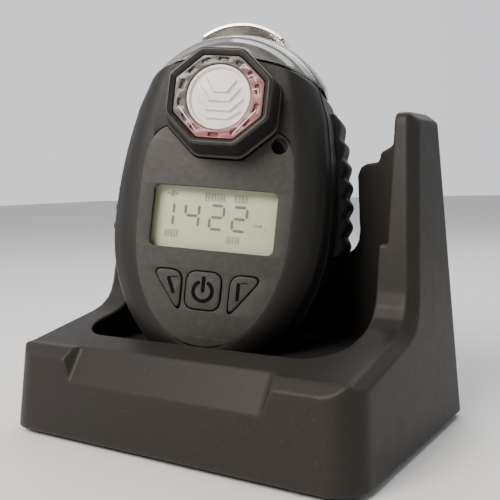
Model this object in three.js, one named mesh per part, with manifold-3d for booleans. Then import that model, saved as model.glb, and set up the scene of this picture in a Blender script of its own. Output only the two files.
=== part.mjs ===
// A portable gas detector standing in its charging dock.
//
// Millimetres, +Z up. The origin is on the ground under the middle of the unit, and +X is to the right
// as a person faces the front. Two frames are used inside the file:
//   dock frame      x right, y back, z up, from the middle of the dock's front bottom edge
//   detector frame  x right, y back, z up, from the middle of the display on the front panel's face
// The detector frame is turned, tilted back and leaned sideways in the dock's roomy pocket.

import * as THREE from 'three';
import { mergeVertices } from 'three/addons/utils/BufferGeometryUtils.js';
import Module from 'manifold-3d';

const wasm = await Module();
wasm.setup();

// ---------------------------------------------------------------- driving dimensions

const gap = 0.3; // clearance kept between neighbouring pieces
const over = 1; // how far a cutting solid runs past the face that it cuts
const degree = Math.PI / 180;

// The dock, in the dock frame. Each wall leans in by so many millimetres for each millimetre of height.
const dock = {
  halfWidth: 60.7,
  depth: 82.5,
  armTop: 94.2,
  corner: 9.5,
  backCorner: 4,
  sideLean: 0.057,
  frontLean: 0.113,
  backLean: 0.058,
  rimFront: 26.4,
  rimStart: 8.4,
  rimRise: 0.2,
  armFoot: 39.1,
  armLean: 0.174,
  armFillet: 9,
  chamfer: 3,
  wall: 3,
  floor: 12.3,
  floorThick: 2.3,
  hollowTop: 17,
};
const pocket = { halfWidth: 46.2, front: 17.6, corner: 13, back: 79, step: 56, upperHalfWidth: 48.8 };
const notch = { bottom: 50, halfWidth: 28, corner: 8 };
const scoop = { halfWidth: 34, top: 26.4, bottom: 16.6, endSlope: 6, deep: 4 };
const base = { thick: 2.4, footRadius: 5.5, footHeight: 1.5, footSink: 1, footInset: 17 };
const boss = { radius: 3.6, pilot: 1.6, top: 19, inset: 9.9, screwHead: 2.7, screwShank: 1.3 };
const seat = { top: 22, clearance: 0.4 };
const inlet = { width: 9, height: 3.4, length: 7.4, z: 7.4 };

// The detector in the pocket, in the dock frame.
const stance = { y: 31.4, z: 64.2, turn: 21.5 * degree, tiltBack: 8.4 * degree, lean: 5.9 * degree };

// The detector's body: an egg seen from the front, with rounded front and rear edges. It flares towards the back.
const body = {
  halfWidth: 35.4,
  flare: 2.2,
  flareStart: 14,
  flareEnd: 26,
  thickness: 34,
  centre: -2,
  lowerReach: 45.5,
  upperReach: 73,
  headRadius: 64,
  headCentre: -13.7,
  frontRound: 14,
  rearRound: 8,
  frontTuck: { side: 12.5, bottom: 8.5, top: 1 },
  rearTuck: { side: 6, bottom: 6, top: 4 },
  wall: 2.4,
  frontWall: 3,
  split: 9.5,
  seal: 1.2,
};
const grip = { front: 18, back: 28.8, bottom: -8, top: 37, proud: 2.4 };
const panel = { halfWidth: 23.9, lowerReach: 36.5, upperReach: 30.8, thick: 1.2, recess: 1.5 };
const display = { halfWidth: 19.4, halfHeight: 9.5, corner: 1.6, windowThick: 1 };
const powerKey = { x: -0.6, z: -21.8, halfWidth: 5.4, halfHeight: 5.7, corner: 2.4 };
const sideKey = { inner: 7.9, outer: 16.9, top: -15.8, bottom: -28, corner: 1.8 };
const key = { proud: 0.5, tail: 3.8, travel: 0.8 };

// The octagonal sensor cap, and what lies behind it.
const cap = { z: 35.4, stretch: 1.098, rim: 14.5, foot: 15.9, footDrop: 1, opening: 12.5, throat: 13.4, reach: 9.3 };
const cell = { radius: 10, lensRadius: 9.7, front: -3.7, length: 16.5 };
const buzzer = { x: 18.2, z: 23.5, radius: 5, hole: 2.5, front: 4.2, length: 6.5 };

// The clear alarm dome over the head.
const dome = { radius: 33.6, centre: 28.4, halfWidth: 28.4, front: 1.5, back: 29.5, wall: 1.8 };

// The spring-loaded steel belt clip on the back.
const clip = {
  x: -3.6,
  padRadius: 23,
  padCentre: 47.6,
  neckHalfWidth: 13,
  tip: -7,
  face: 39.2,
  thick: 1.2,
  lipFront: 27.5,
  lipThick: 1.3,
  pinY: 36.9,
  pinZ: 28,
  pinRadius: 0.9,
  bore: 1.2,
};
// How far the clip's thumb pad reaches past the dock's back.
const clipOverhang = 2.018;
const contact = { x: 6, y: 22, radius: 1.8 };
const rearScrews = [[-19.5, 38], [19.5, 38], [-24, -14], [24, -14]];

// ---------------------------------------------------------------- solids

// Turns a closed geometry into a solid that can be joined and cut.
function solid(geometry) {
  const plain = geometry.clone();
  plain.deleteAttribute('normal');
  plain.deleteAttribute('uv');
  const merged = mergeVertices(plain, 1e-4);
  const vertProperties = new Float32Array(merged.attributes.position.array);
  const triVerts = new Uint32Array(merged.index.array);
  return new wasm.Manifold(new wasm.Mesh({ numProp: 3, vertProperties, triVerts }));
}

// Turns a solid back into a flat-shaded geometry.
function geometryOf(shape) {
  const mesh = shape.getMesh();
  const geometry = new THREE.BufferGeometry();
  geometry.setAttribute('position', new THREE.BufferAttribute(new Float32Array(mesh.vertProperties), 3));
  geometry.setIndex(new THREE.BufferAttribute(new Uint32Array(mesh.triVerts), 1));
  geometry.computeVertexNormals();
  return geometry;
}

function join(...shapes) {
  return shapes.reduce((whole, piece) => whole.add(piece));
}

function cut(shape, ...tools) {
  return tools.reduce((whole, tool) => whole.subtract(tool), shape);
}

function block(x0, x1, y0, y1, z0, z1) {
  const geometry = new THREE.BoxGeometry(x1 - x0, y1 - y0, z1 - z0);
  geometry.translate((x0 + x1) / 2, (y0 + y1) / 2, (z0 + z1) / 2);
  return solid(geometry);
}

// A round bar along x, y or z, from one end to the other, centred on the two remaining coordinates.
function bar(axis, radius, from, to, first, second, sides = 16) {
  const geometry = new THREE.CylinderGeometry(radius, radius, to - from, sides);
  const middle = (from + to) / 2;
  if (axis === 'x') geometry.rotateZ(Math.PI / 2).translate(middle, first, second);
  if (axis === 'y') geometry.translate(first, middle, second);
  if (axis === 'z') geometry.rotateX(Math.PI / 2).translate(first, second, middle);
  return solid(geometry);
}

// A front-view outline (x, z) pushed back from one depth to another.
function slabBack(shape, y0, y1, curveSegments = 4) {
  const geometry = new THREE.ExtrudeGeometry(shape, { depth: y1 - y0, bevelEnabled: false, curveSegments });
  geometry.rotateX(Math.PI / 2).translate(0, y1, 0);
  return solid(geometry);
}

// A side-view outline (y, z) pushed sideways from one x to another.
function slabSide(shape, x0, x1, curveSegments = 8) {
  const geometry = new THREE.ExtrudeGeometry(shape, { depth: x1 - x0, bevelEnabled: false, curveSegments });
  const right = new THREE.Vector3(1, 0, 0);
  const back = new THREE.Vector3(0, 1, 0);
  const up = new THREE.Vector3(0, 0, 1);
  geometry.applyMatrix4(new THREE.Matrix4().makeBasis(back, up, right)).translate(x0, 0, 0);
  return solid(geometry);
}

// A skin over closed rings of equal point count, closed by a flat cap at each end.
// flatten gives a ring point's two coordinates in the caps' plane.
function loft(rings, flatten) {
  const count = rings[0].length;
  const index = [];
  for (let row = 0; row + 1 < rings.length; row += 1) {
    for (let i = 0; i < count; i += 1) {
      const next = (i + 1) % count;
      const a = row * count + i;
      const b = row * count + next;
      const c = (row + 1) * count + next;
      const d = (row + 1) * count + i;
      index.push(a, b, c, a, c, d);
    }
  }
  const ends = [rings[0], rings[rings.length - 1]];
  ends.forEach((ring, side) => {
    const outline = ring.map(flatten);
    const turn = Math.sign(THREE.ShapeUtils.area(outline)) * (side === 0 ? -1 : 1);
    const start = side === 0 ? 0 : (rings.length - 1) * count;
    THREE.ShapeUtils.triangulateShape(outline, []).forEach(([a, b, c]) => {
      const area = THREE.ShapeUtils.area([outline[a], outline[b], outline[c]]);
      const corners = area * turn * Math.sign(THREE.ShapeUtils.area(outline)) > 0 ? [a, b, c] : [a, c, b];
      corners.forEach((corner) => index.push(start + corner));
    });
  });
  const points = rings.flat();
  let volume = 0;
  for (let i = 0; i < index.length; i += 3) {
    const [a, b, c] = [points[index[i]], points[index[i + 1]], points[index[i + 2]]];
    volume += a.dot(new THREE.Vector3().crossVectors(b, c));
  }
  if (volume < 0) index.reverse();
  const geometry = new THREE.BufferGeometry().setFromPoints(points);
  geometry.setIndex(index);
  return solid(geometry);
}

// ---------------------------------------------------------------- outlines

// A rectangle with round corners, each with its own radius if four are given
// (front or bottom left, front or bottom right, back or top right, back or top left).
function roundedBox(x0, x1, y0, y1, radii) {
  const [r0, r1, r2, r3] = Array.isArray(radii) ? radii : [radii, radii, radii, radii];
  const shape = new THREE.Shape();
  shape.moveTo(x0 + r0, y0);
  shape.lineTo(x1 - r1, y0);
  shape.absarc(x1 - r1, y0 + r1, r1, -Math.PI / 2, 0, false);
  shape.lineTo(x1, y1 - r2);
  shape.absarc(x1 - r2, y1 - r2, r2, 0, Math.PI / 2, false);
  shape.lineTo(x0 + r3, y1);
  shape.absarc(x0 + r3, y1 - r3, r3, Math.PI / 2, Math.PI, false);
  shape.lineTo(x0, y0 + r0);
  shape.absarc(x0 + r0, y0 + r0, r0, Math.PI, 1.5 * Math.PI, false);
  return shape;
}

// A polygon whose corners are rounded by short quadratic curves.
function roundedPolygon(corners, radius) {
  const shape = new THREE.Shape();
  corners.forEach((corner, i) => {
    const before = corners[(i + corners.length - 1) % corners.length];
    const after = corners[(i + 1) % corners.length];
    const entry = corner.clone().add(before.clone().sub(corner).setLength(radius));
    const exit = corner.clone().add(after.clone().sub(corner).setLength(radius));
    if (i === 0) shape.moveTo(entry.x, entry.y);
    else shape.lineTo(entry.x, entry.y);
    shape.quadraticCurveTo(corner.x, corner.y, exit.x, exit.y);
  });
  shape.closePath();
  return shape;
}

function circle(x, z, radius) {
  return new THREE.Shape().absarc(x, z, radius, 0, 2 * Math.PI, false);
}

// The cap's octagon, a little wider than tall, with the given reach above and below its centre.
function octagon(reach, z = cap.z) {
  const corners = [];
  for (let i = 0; i < 8; i += 1) {
    const angle = (i + 0.5) * 45 * degree;
    const radius = reach / Math.cos(22.5 * degree);
    corners.push(new THREE.Vector2(radius * Math.cos(angle) * cap.stretch, z + radius * Math.sin(angle)));
  }
  return corners;
}

// ---------------------------------------------------------------- the detector's body

// One ring of the egg at a depth behind the front face, pulled in by an inset.
function bodyRing(depth, halfWidth, lowerReach, headRadius) {
  const count = 36;
  const ring = [];
  for (let i = 0; i < count; i += 1) {
    const angle = (i * 2 * Math.PI) / count;
    const reach = Math.sin(angle) > 0 ? body.upperReach : lowerReach;
    const point = new THREE.Vector2(halfWidth * Math.cos(angle), reach * Math.sin(angle));
    // The head is a circle's arc: a point above it is drawn back towards the egg's centre.
    const drop = body.centre - body.headCentre;
    const along = point.clone().normalize();
    const side = along.y * drop;
    const limit = -side + Math.sqrt(side * side - drop * drop + headRadius * headRadius);
    if (point.length() > limit) point.setLength(limit);
    ring.push(new THREE.Vector3(point.x, depth, point.y + body.centre));
  }
  return ring;
}

// The whole egg, drawn in by inset all round, between two depths.
function egg(inset, front, back) {
  const steps = 4;
  const rings = [];
  const stretch = (back - front) / body.thickness;
  const add = (depth, tuck, amount) => {
    const share = (depth - body.flareStart) / (body.flareEnd - body.flareStart);
    const flare = body.flare * Math.min(Math.max(share, 0), 1);
    const halfWidth = body.halfWidth + flare - tuck.side * amount - inset;
    const lowerReach = body.lowerReach - tuck.bottom * amount - inset;
    const headRadius = body.headRadius - tuck.top * amount - inset;
    rings.push(bodyRing(front + depth * stretch, halfWidth, lowerReach, headRadius));
  };
  for (let i = 0; i <= steps; i += 1) {
    const angle = (i * Math.PI) / 2 / steps;
    add(body.frontRound * (1 - Math.cos(angle)), body.frontTuck, 1 - Math.sin(angle));
  }
  for (let i = 0; i <= steps; i += 1) {
    const angle = (i * Math.PI) / 2 / steps;
    const depth = body.thickness - body.rearRound + body.rearRound * Math.sin(angle);
    add(depth, body.rearTuck, 1 - Math.cos(angle));
  }
  return loft(rings, (point) => new THREE.Vector2(point.x, point.z));
}

// The space from one depth to another, wider than the whole detector.
function between(y0, y1) {
  return block(-80, 80, y0, y1, -80, 90);
}

// The flat front panel's outline: a half ellipse below, a squarer half above.
function panelOutline(margin) {
  const points = [];
  const count = 36;
  for (let i = 0; i < count; i += 1) {
    const angle = (i * 2 * Math.PI) / count;
    const up = Math.sin(angle) > 0;
    const power = up ? 5 : 2.1;
    const reach = (up ? panel.upperReach : panel.lowerReach) + margin;
    const x = Math.sign(Math.cos(angle)) * Math.abs(Math.cos(angle)) ** (2 / power);
    const z = Math.sign(Math.sin(angle)) * Math.abs(Math.sin(angle)) ** (2 / power);
    points.push(new THREE.Vector2((panel.halfWidth + margin) * x, reach * z + body.centre));
  }
  return new THREE.Shape(points);
}

function displayOutline(margin) {
  const { halfWidth, halfHeight, corner } = display;
  return roundedBox(-halfWidth - margin, halfWidth + margin, -halfHeight - margin, halfHeight + margin, corner);
}

function powerOutline(margin) {
  const { x, z, halfWidth, halfHeight, corner } = powerKey;
  const [w, h] = [halfWidth + margin, halfHeight + margin];
  return roundedBox(x - w, x + w, z - h, z + h, corner + margin);
}

// A key with an upright inner edge and a slanted outer edge; side is -1 on the left and 1 on the right.
function sideKeyOutline(side, margin) {
  const corners = [
    new THREE.Vector2(side * (sideKey.inner - margin), sideKey.top + margin),
    new THREE.Vector2(side * (sideKey.inner - margin), sideKey.bottom - 2.4 * margin),
    new THREE.Vector2(side * (sideKey.outer + 1.6 * margin), sideKey.top + margin),
  ];
  return roundedPolygon(corners, sideKey.corner + margin);
}

const keyOutlines = [
  (margin) => powerOutline(margin),
  (margin) => sideKeyOutline(-1, margin),
  (margin) => sideKeyOutline(1, margin),
];

// The block of space that a ribbed side grip takes up.
function gripSpace(side, margin) {
  const { front, back, bottom, top } = grip;
  const [near, far] = side > 0 ? [20, 60] : [-60, -20];
  return block(near, far, front - margin, back + margin, bottom - margin, top + margin);
}

const wholeEgg = egg(0, 0, body.thickness);
const hollowEgg = egg(body.wall, body.frontWall, body.thickness - body.wall);

function frontHousing() {
  const shell = cut(wholeEgg, hollowEgg).intersect(between(-over, body.split - body.seal / 2 - gap));
  const bosses = rearScrews.map(([x, z]) => bar('y', 3.2, body.frontWall - over, 15.5, x, z, 12));
  const bores = rearScrews.map(([x, z]) => bar('y', 1.6, 4.4, 15.5 + over, x, z, 8));
  const panelSeat = slabBack(panelOutline(0.35), -over, panel.recess);
  const windows = [displayOutline(0.7), ...keyOutlines.map((outline) => outline(0.35))];
  const openings = windows.map((outline) => slabBack(outline, 0, body.frontWall + over));
  const throat = slabBack(new THREE.Shape(octagon(cap.throat + gap)), -over, body.frontWall + over);
  const sound = slabBack(circle(buzzer.x, buzzer.z, buzzer.hole + 0.4), 0, body.frontWall + over);
  const solidBosses = bosses.map((post) => post.intersect(egg(1, 1, body.thickness - 1)));
  return cut(join(shell, ...solidBosses), ...bores, panelSeat, ...openings, throat, sound);
}

function rearHousing() {
  const shell = cut(wholeEgg, hollowEgg).intersect(between(body.split + body.seal / 2 + gap, body.thickness + over));
  const inside = egg(1, 1, body.thickness);
  const posts = rearScrews.map(([x, z]) => bar('y', 3.9, 18.6, body.thickness, x, z, 12).intersect(inside));
  const bores = rearScrews.map(([x, z]) => bar('y', 1.6, 17, body.thickness + over, x, z, 8));
  const heads = rearScrews.map(([x, z]) => bar('y', 2.9, 31.4, body.thickness + over, x, z, 12));
  const pads = [-1, 1].map((side) => bar('z', contact.radius + gap, -52, -38, side * contact.x, contact.y, 12));
  const gripSkin = cut(egg(-4, -4, body.thickness + 4), egg(1.2, 1.2, body.thickness - 1.2));
  const grips = [-1, 1].map((side) => gripSkin.intersect(gripSpace(side, gap)));
  return cut(join(shell, ...posts), ...bores, ...heads, ...pads, ...grips);
}

// A thin ring that keeps water out between the two housings.
function housingSeal() {
  const ring = cut(egg(0.5, 0, body.thickness), egg(2.1, 0, body.thickness));
  return ring.intersect(between(body.split - body.seal / 2, body.split + body.seal / 2));
}

// A rubber strip let into the side, with a row of raised ribs.
function sideGrip(side) {
  const strip = cut(egg(-grip.proud, -grip.proud, body.thickness + grip.proud), egg(0.9, 0.9, body.thickness - 0.9));
  return strip.intersect(gripSpace(side, 0));
}

function frontPanel() {
  const plate = slabBack(panelOutline(0), 0, panel.thick);
  const footZ = cap.z - cap.footDrop;
  const around = slabBack(new THREE.Shape(octagon(cap.foot + gap, footZ)), -over, panel.thick + over);
  const windows = [displayOutline(0), ...keyOutlines.map((outline) => outline(0.35))];
  const openings = windows.map((outline) => slabBack(outline, -over, panel.thick + over));
  const sound = bar('y', buzzer.hole, -over, panel.thick + over, buzzer.x, buzzer.z);
  return cut(plate, around, ...openings, sound);
}

function displayWindow() {
  const front = panel.thick + gap;
  return slabBack(displayOutline(0.4), front, front + display.windowThick);
}

function displayModule() {
  const glass = block(-20, 20, 3.3, 6, -11, 11);
  const frame = block(-20.2, 20.2, 5.6, 7.2, -11.6, 11.6);
  return join(glass, frame);
}

function keyCap(outline) {
  return slabBack(outline, -key.proud, key.tail);
}

function keypad() {
  const mat = block(-17.6, 17.6, 5.7, 7.2, -29.5, -14.4);
  const domes = [-12, -0.6, 12].map((x) => bar('y', 3, 4.9, 5.8, x, -21, 16));
  return join(mat, ...domes);
}

function mainBoard() {
  return block(-19.8, 19.8, 7.6, 9.2, -33, 18);
}

function battery() {
  const cells = roundedBox(-17, 17, 10.2, 24.5, 3);
  const geometry = new THREE.ExtrudeGeometry(cells, { depth: 46, bevelEnabled: false, curveSegments: 4 });
  geometry.translate(0, 0, -32);
  return solid(geometry);
}

function vibrationMotor() {
  return bar('x', 3.4, -8, 6, 15, -38.2, 20);
}

// ---------------------------------------------------------------- sensor, buzzer and alarm light

function octagonRing(depth, reach, z) {
  return octagon(reach, z).map((corner) => new THREE.Vector3(corner.x, depth, corner.y));
}

function sensorCap() {
  const footZ = cap.z - cap.footDrop;
  const outside = loft([
    octagonRing(-cap.reach, cap.rim - 0.7, cap.z),
    octagonRing(-cap.reach + 0.7, cap.rim, cap.z),
    octagonRing(-cap.reach + 3, cap.rim + 0.2, cap.z),
    octagonRing(-1.6, cap.foot - 0.5, footZ),
    octagonRing(-gap, cap.foot, footZ),
  ], (point) => new THREE.Vector2(point.x, point.z));
  const throat = slabBack(new THREE.Shape(octagon(cap.throat)), -1.5, body.frontWall);
  const bore = slabBack(new THREE.Shape(octagon(cap.opening)), -cap.reach - over, body.frontWall + over);
  return cut(join(outside, throat), bore);
}

// The clear octagonal frame in the cap's mouth, with its vent slots.
function sensorFrame() {
  const plate = slabBack(new THREE.Shape(octagon(cap.opening - gap)), -8.1, -6.1);
  const hole = bar('y', cell.lensRadius + gap, -9, -5, 0, cap.z, 28);
  return cut(plate, hole);
}

function sensorLens() {
  return bar('y', cell.lensRadius, -7.9, -5.6, 0, cap.z, 28);
}

function gasFilter() {
  return bar('y', 9, -5.3, -4.7, 0, cap.z, 24);
}

function sensorGasket() {
  const ring = bar('y', 9.6, -4.4, -4, 0, cap.z, 24);
  return cut(ring, bar('y', 7.6, -6, -3, 0, cap.z, 24));
}

function sensorCell() {
  return bar('y', cell.radius, cell.front, cell.front + cell.length, 0, cap.z, 28);
}

function sensorBoard() {
  const back = cell.front + cell.length + gap;
  return bar('y', 10.5, back, back + 1.2, 0, cap.z, 24);
}

function buzzerCan() {
  return bar('y', buzzer.radius, buzzer.front, buzzer.front + buzzer.length, buzzer.x, buzzer.z);
}

function buzzerMesh() {
  return bar('y', buzzer.hole, panel.recess + gap, panel.recess + gap + 0.8, buzzer.x, buzzer.z);
}

// One upright slice of the dome: an outer arc over the head's own arc, from end to end of the crescent.
function domeRing(depth, drop, inset, floor) {
  const count = 14;
  const ring = [];
  const radius = dome.radius - drop - inset;
  const headRadius = body.headRadius + gap - floor;
  // The two arcs meet at a height found from their circles.
  const apart = dome.centre - body.headCentre;
  const squares = dome.centre ** 2 - body.headCentre ** 2 - radius ** 2 + headRadius ** 2;
  const meetingZ = squares / (2 * apart);
  const meetingX = Math.sqrt(radius ** 2 - (meetingZ - dome.centre) ** 2);
  const halfWidth = Math.min(dome.halfWidth - inset, 0.98 * meetingX);
  const outerAngle = Math.asin(halfWidth / radius);
  const headAngle = Math.asin(halfWidth / headRadius);
  for (let i = 0; i <= count; i += 1) {
    const angle = outerAngle * (1 - (2 * i) / count);
    ring.push(new THREE.Vector3(radius * Math.sin(angle), depth, dome.centre + radius * Math.cos(angle)));
  }
  for (let i = 0; i <= count; i += 1) {
    const angle = headAngle * ((2 * i) / count - 1);
    const z = body.headCentre + headRadius * Math.cos(angle);
    ring.push(new THREE.Vector3(headRadius * Math.sin(angle), depth, z));
  }
  return ring;
}

function domeSolid(inset, floor) {
  const profile = [
    [dome.front, 8.2],
    [dome.front + 4, 5],
    [dome.front + 9, 2.2],
    [dome.front + 17, 0],
    [dome.back - 5.5, 0.5],
    [dome.back - 2, 2.8],
    [dome.back, 5.6],
  ];
  const rings = profile.map(([depth, drop]) => {
    const middle = (dome.front + dome.back) / 2;
    const shrink = 1 - (2 * inset) / (dome.back - dome.front);
    return domeRing(middle + (depth - middle) * shrink, drop, inset, floor);
  });
  return loft(rings, (point) => new THREE.Vector2(point.x, point.z));
}

function alarmDome() {
  return cut(domeSolid(0, 0), domeSolid(dome.wall, 3));
}

function alarmLightBoard() {
  const board = block(-13, 13, 9, 20, 51, 52.2);
  const lamps = [-9, 0, 9].map((x) => block(x - 1.7, x + 1.7, 12.5, 16, 52, 53.6));
  return join(board, ...lamps);
}

// ---------------------------------------------------------------- belt clip

function clipBracket() {
  const back = body.thickness + gap;
  const plate = block(-10, 10, back, back + 0.9, 21, 35);
  // The ears stop short of the plate, so that it can rock on the pin.
  const earBack = clip.pinY + clip.bore + 0.4;
  const ears = [-8.4, 6.8].map((x) => block(x, x + 1.6, back + 0.5, earBack, clip.pinZ - 2.2, clip.pinZ + 2.2));
  const bore = bar('x', clip.bore, -10, 10, clip.pinY, clip.pinZ, 20);
  const window = block(-6.3, 6.3, back - over, back + 1.5, clip.pinZ - 3.2, clip.pinZ + 3.2);
  return cut(join(plate, ...ears), bore, window);
}

function clipPin() {
  return bar('x', clip.pinRadius, -9.4, 9.4, clip.pinY, clip.pinZ, 20);
}

function clipSpring() {
  const coil = bar('x', 2.05, -3.6, 3.6, clip.pinY, clip.pinZ, 20);
  return cut(coil, bar('x', clip.bore, -6, 6, clip.pinY, clip.pinZ, 20));
}

// The side-view line of the clip's plate: straight behind the body, then in to a tip that grips.
function clipSection() {
  const shape = new THREE.Shape();
  const { face, thick, tip, padCentre, padRadius } = clip;
  const top = padCentre + padRadius;
  shape.moveTo(face, top);
  shape.lineTo(face, tip + 15);
  shape.quadraticCurveTo(face, tip + 10, face - 3, tip + 6);
  shape.lineTo(face - 4.6, tip + 2.6);
  shape.quadraticCurveTo(face - 5, tip + 1, face - 4.4, tip);
  shape.lineTo(face - 3.2, tip);
  shape.quadraticCurveTo(face - 3.6, tip + 1.4, face - 3.2, tip + 2.4);
  shape.lineTo(face - 1.8, tip + 6);
  shape.quadraticCurveTo(face + thick, tip + 10, face + thick, tip + 15);
  shape.lineTo(face + thick, top);
  shape.closePath();
  return shape;
}

// The plate seen from the front: a round thumb pad on a narrower tongue.
function clipFrontOutline() {
  const shape = new THREE.Shape();
  const { padRadius, padCentre, neckHalfWidth, tip } = clip;
  const shoulder = 12 * degree;
  shape.moveTo(-neckHalfWidth + 4, tip - over);
  shape.lineTo(neckHalfWidth - 4, tip - over);
  shape.quadraticCurveTo(neckHalfWidth, tip, neckHalfWidth, tip + 6);
  shape.lineTo(neckHalfWidth, 22);
  const startX = padRadius * Math.cos(-shoulder);
  const startZ = padCentre + padRadius * Math.sin(-shoulder);
  shape.quadraticCurveTo(neckHalfWidth, 33, startX, startZ);
  shape.absarc(0, padCentre, padRadius, -shoulder, Math.PI + shoulder, false);
  shape.quadraticCurveTo(-neckHalfWidth, 33, -neckHalfWidth, 22);
  shape.lineTo(-neckHalfWidth, tip + 6);
  shape.quadraticCurveTo(-neckHalfWidth, tip, -neckHalfWidth + 4, tip - over);
  return shape;
}

// The rolled lip that runs forward from the round end of the pad.
function clipLip() {
  const [start, end] = [44 * degree, 136 * degree];
  const inner = clip.padRadius - clip.lipThick;
  const shape = new THREE.Shape();
  shape.absarc(0, clip.padCentre, clip.padRadius, start, end, false);
  shape.absarc(0, clip.padCentre, inner, end, start, true);
  shape.closePath();
  return slabBack(shape, clip.lipFront, clip.face + clip.thick / 2, 12);
}

function beltClip() {
  const plate = slabSide(clipSection(), -30, 30, 4).intersect(slabBack(clipFrontOutline(), 30, 45, 12));
  const lugs = [-5.8, 4.2].map((x) => (
    block(x, x + 1.6, clip.pinY - 1.9, clip.face + 0.5, clip.pinZ - 2.2, clip.pinZ + 2.2)
  ));
  const bore = bar('x', clip.bore, -10, 10, clip.pinY, clip.pinZ, 20);
  return cut(join(plate, ...lugs, clipLip()), bore);
}

function rearScrew([x, z]) {
  const head = bar('y', 2.6, 31.7, 33.4, x, z, 12);
  const shank = bar('y', 1.25, 6, 32, x, z, 8);
  return join(head, shank);
}

// ---------------------------------------------------------------- contacts

function chargeContact(side) {
  return bar('z', contact.radius, -47.9, -42, side * contact.x, contact.y, 12);
}

function chargePin(side) {
  return bar('z', 0.9, -53.6, -48.3, side * contact.x, contact.y, 12);
}

function pinBarrel(side) {
  const tube = bar('z', 2, -55.8, -50.5, side * contact.x, contact.y, 12);
  return cut(tube, bar('z', 1.2, -55.4, -50, side * contact.x, contact.y, 12));
}

// ---------------------------------------------------------------- the dock

// The detector frame's place in the dock frame.
const stanceMatrix = new THREE.Matrix4().compose(
  new THREE.Vector3(0, stance.y, stance.z),
  new THREE.Quaternion().setFromEuler(new THREE.Euler(-stance.tiltBack, stance.lean, stance.turn, 'ZXY')),
  new THREE.Vector3(1, 1, 1),
);

// A solid given in the detector frame, moved to where it stands in the dock frame.
function inDock(shape) {
  return solid(geometryOf(shape).applyMatrix4(stanceMatrix));
}

// A round-cornered slice of the dock's outside at one height, pulled in by an inset.
function dockRing(z, inset) {
  const halfWidth = dock.halfWidth - dock.sideLean * z - inset;
  const front = dock.frontLean * z + inset;
  const back = dock.depth - dock.backLean * z - inset;
  const radii = [dock.corner, dock.corner, dock.backCorner, dock.backCorner];
  const outline = roundedBox(-halfWidth, halfWidth, front, back, radii.map((radius) => Math.max(radius - inset, 1)));
  const points = outline.getPoints(5).slice(0, -1);
  return distinct(points).map((point) => new THREE.Vector3(point.x, point.y, z));
}

// Drops a point that repeats the one before it.
function distinct(points) {
  return points.filter((point, i) => i === 0 || point.distanceTo(points[i - 1]) > 0.01);
}

function dockBlock(z0, z1, inset) {
  return loft([dockRing(z0, inset), dockRing(z1, inset)], (point) => new THREE.Vector2(point.x, point.y));
}

// The side view that the rim and arms follow; shrink lowers the rim and pulls the arms in for the chamfer.
function dockProfile(shrink) {
  const rimAt = (y) => dock.rimFront + dock.rimRise * (y - dock.rimStart) - shrink;
  const armAt = (z) => dock.armFoot + dock.armLean * z + shrink;
  const top = dock.armTop - shrink;
  const footY = armAt(rimAt(dock.armFoot));
  const filletStart = footY - dock.armFillet;
  const filletEnd = rimAt(footY) + dock.armFillet;
  const shape = new THREE.Shape();
  shape.moveTo(-9, -9);
  shape.lineTo(dock.depth + 9, -9);
  shape.lineTo(dock.depth + 9, top - 4);
  shape.lineTo(dock.depth - 8, top - 3.2);
  shape.quadraticCurveTo(dock.depth - dock.backLean * top - 1, top, dock.depth - dock.backLean * top - 5, top);
  shape.lineTo(armAt(top) + 3, top);
  shape.quadraticCurveTo(armAt(top), top, armAt(top - 3), top - 3);
  shape.lineTo(armAt(filletEnd), filletEnd);
  shape.quadraticCurveTo(footY, rimAt(footY), filletStart, rimAt(filletStart));
  shape.lineTo(dock.rimStart, rimAt(dock.rimStart));
  shape.lineTo(-9, rimAt(dock.rimStart));
  return shape;
}

// The rim-and-arm profile swept across the dock, with chamfers along both outer sides.
function profileBlock() {
  const rings = [-1, -1, 1, 1].map((side, i) => {
    const outer = i === 0 || i === 3;
    const inset = outer ? 0 : dock.chamfer;
    const points = distinct(dockProfile(outer ? dock.chamfer : 0).getPoints(4));
    return points.map(({ x: y, y: z }) => {
      const reach = dock.halfWidth - dock.sideLean * z - inset + (outer ? 0.5 : 0);
      return new THREE.Vector3(side * reach, y, z);
    });
  });
  return loft(rings, (point) => new THREE.Vector2(point.y, point.z));
}

// The pocket that the detector stands in, grown by a margin.
function pocketBlock(margin, bottom) {
  const ring = (z, halfWidth) => {
    const back = pocket.back - dock.backLean * z + margin;
    const corners = [pocket.corner, pocket.corner, 5, 5].map((radius) => radius + margin);
    const [half, front] = [halfWidth + margin, pocket.front - margin];
    const points = roundedBox(-half, half, front, back, corners).getPoints(4).slice(0, -1);
    return distinct(points).map((point) => new THREE.Vector3(point.x, point.y, z));
  };
  const flatten = (point) => new THREE.Vector2(point.x, point.y);
  const lower = loft([ring(bottom, pocket.halfWidth), ring(dock.armTop + 9, pocket.halfWidth)], flatten);
  const upper = loft([ring(pocket.step, pocket.upperHalfWidth), ring(dock.armTop + 9, pocket.upperHalfWidth)], flatten);
  return join(lower, upper);
}

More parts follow.
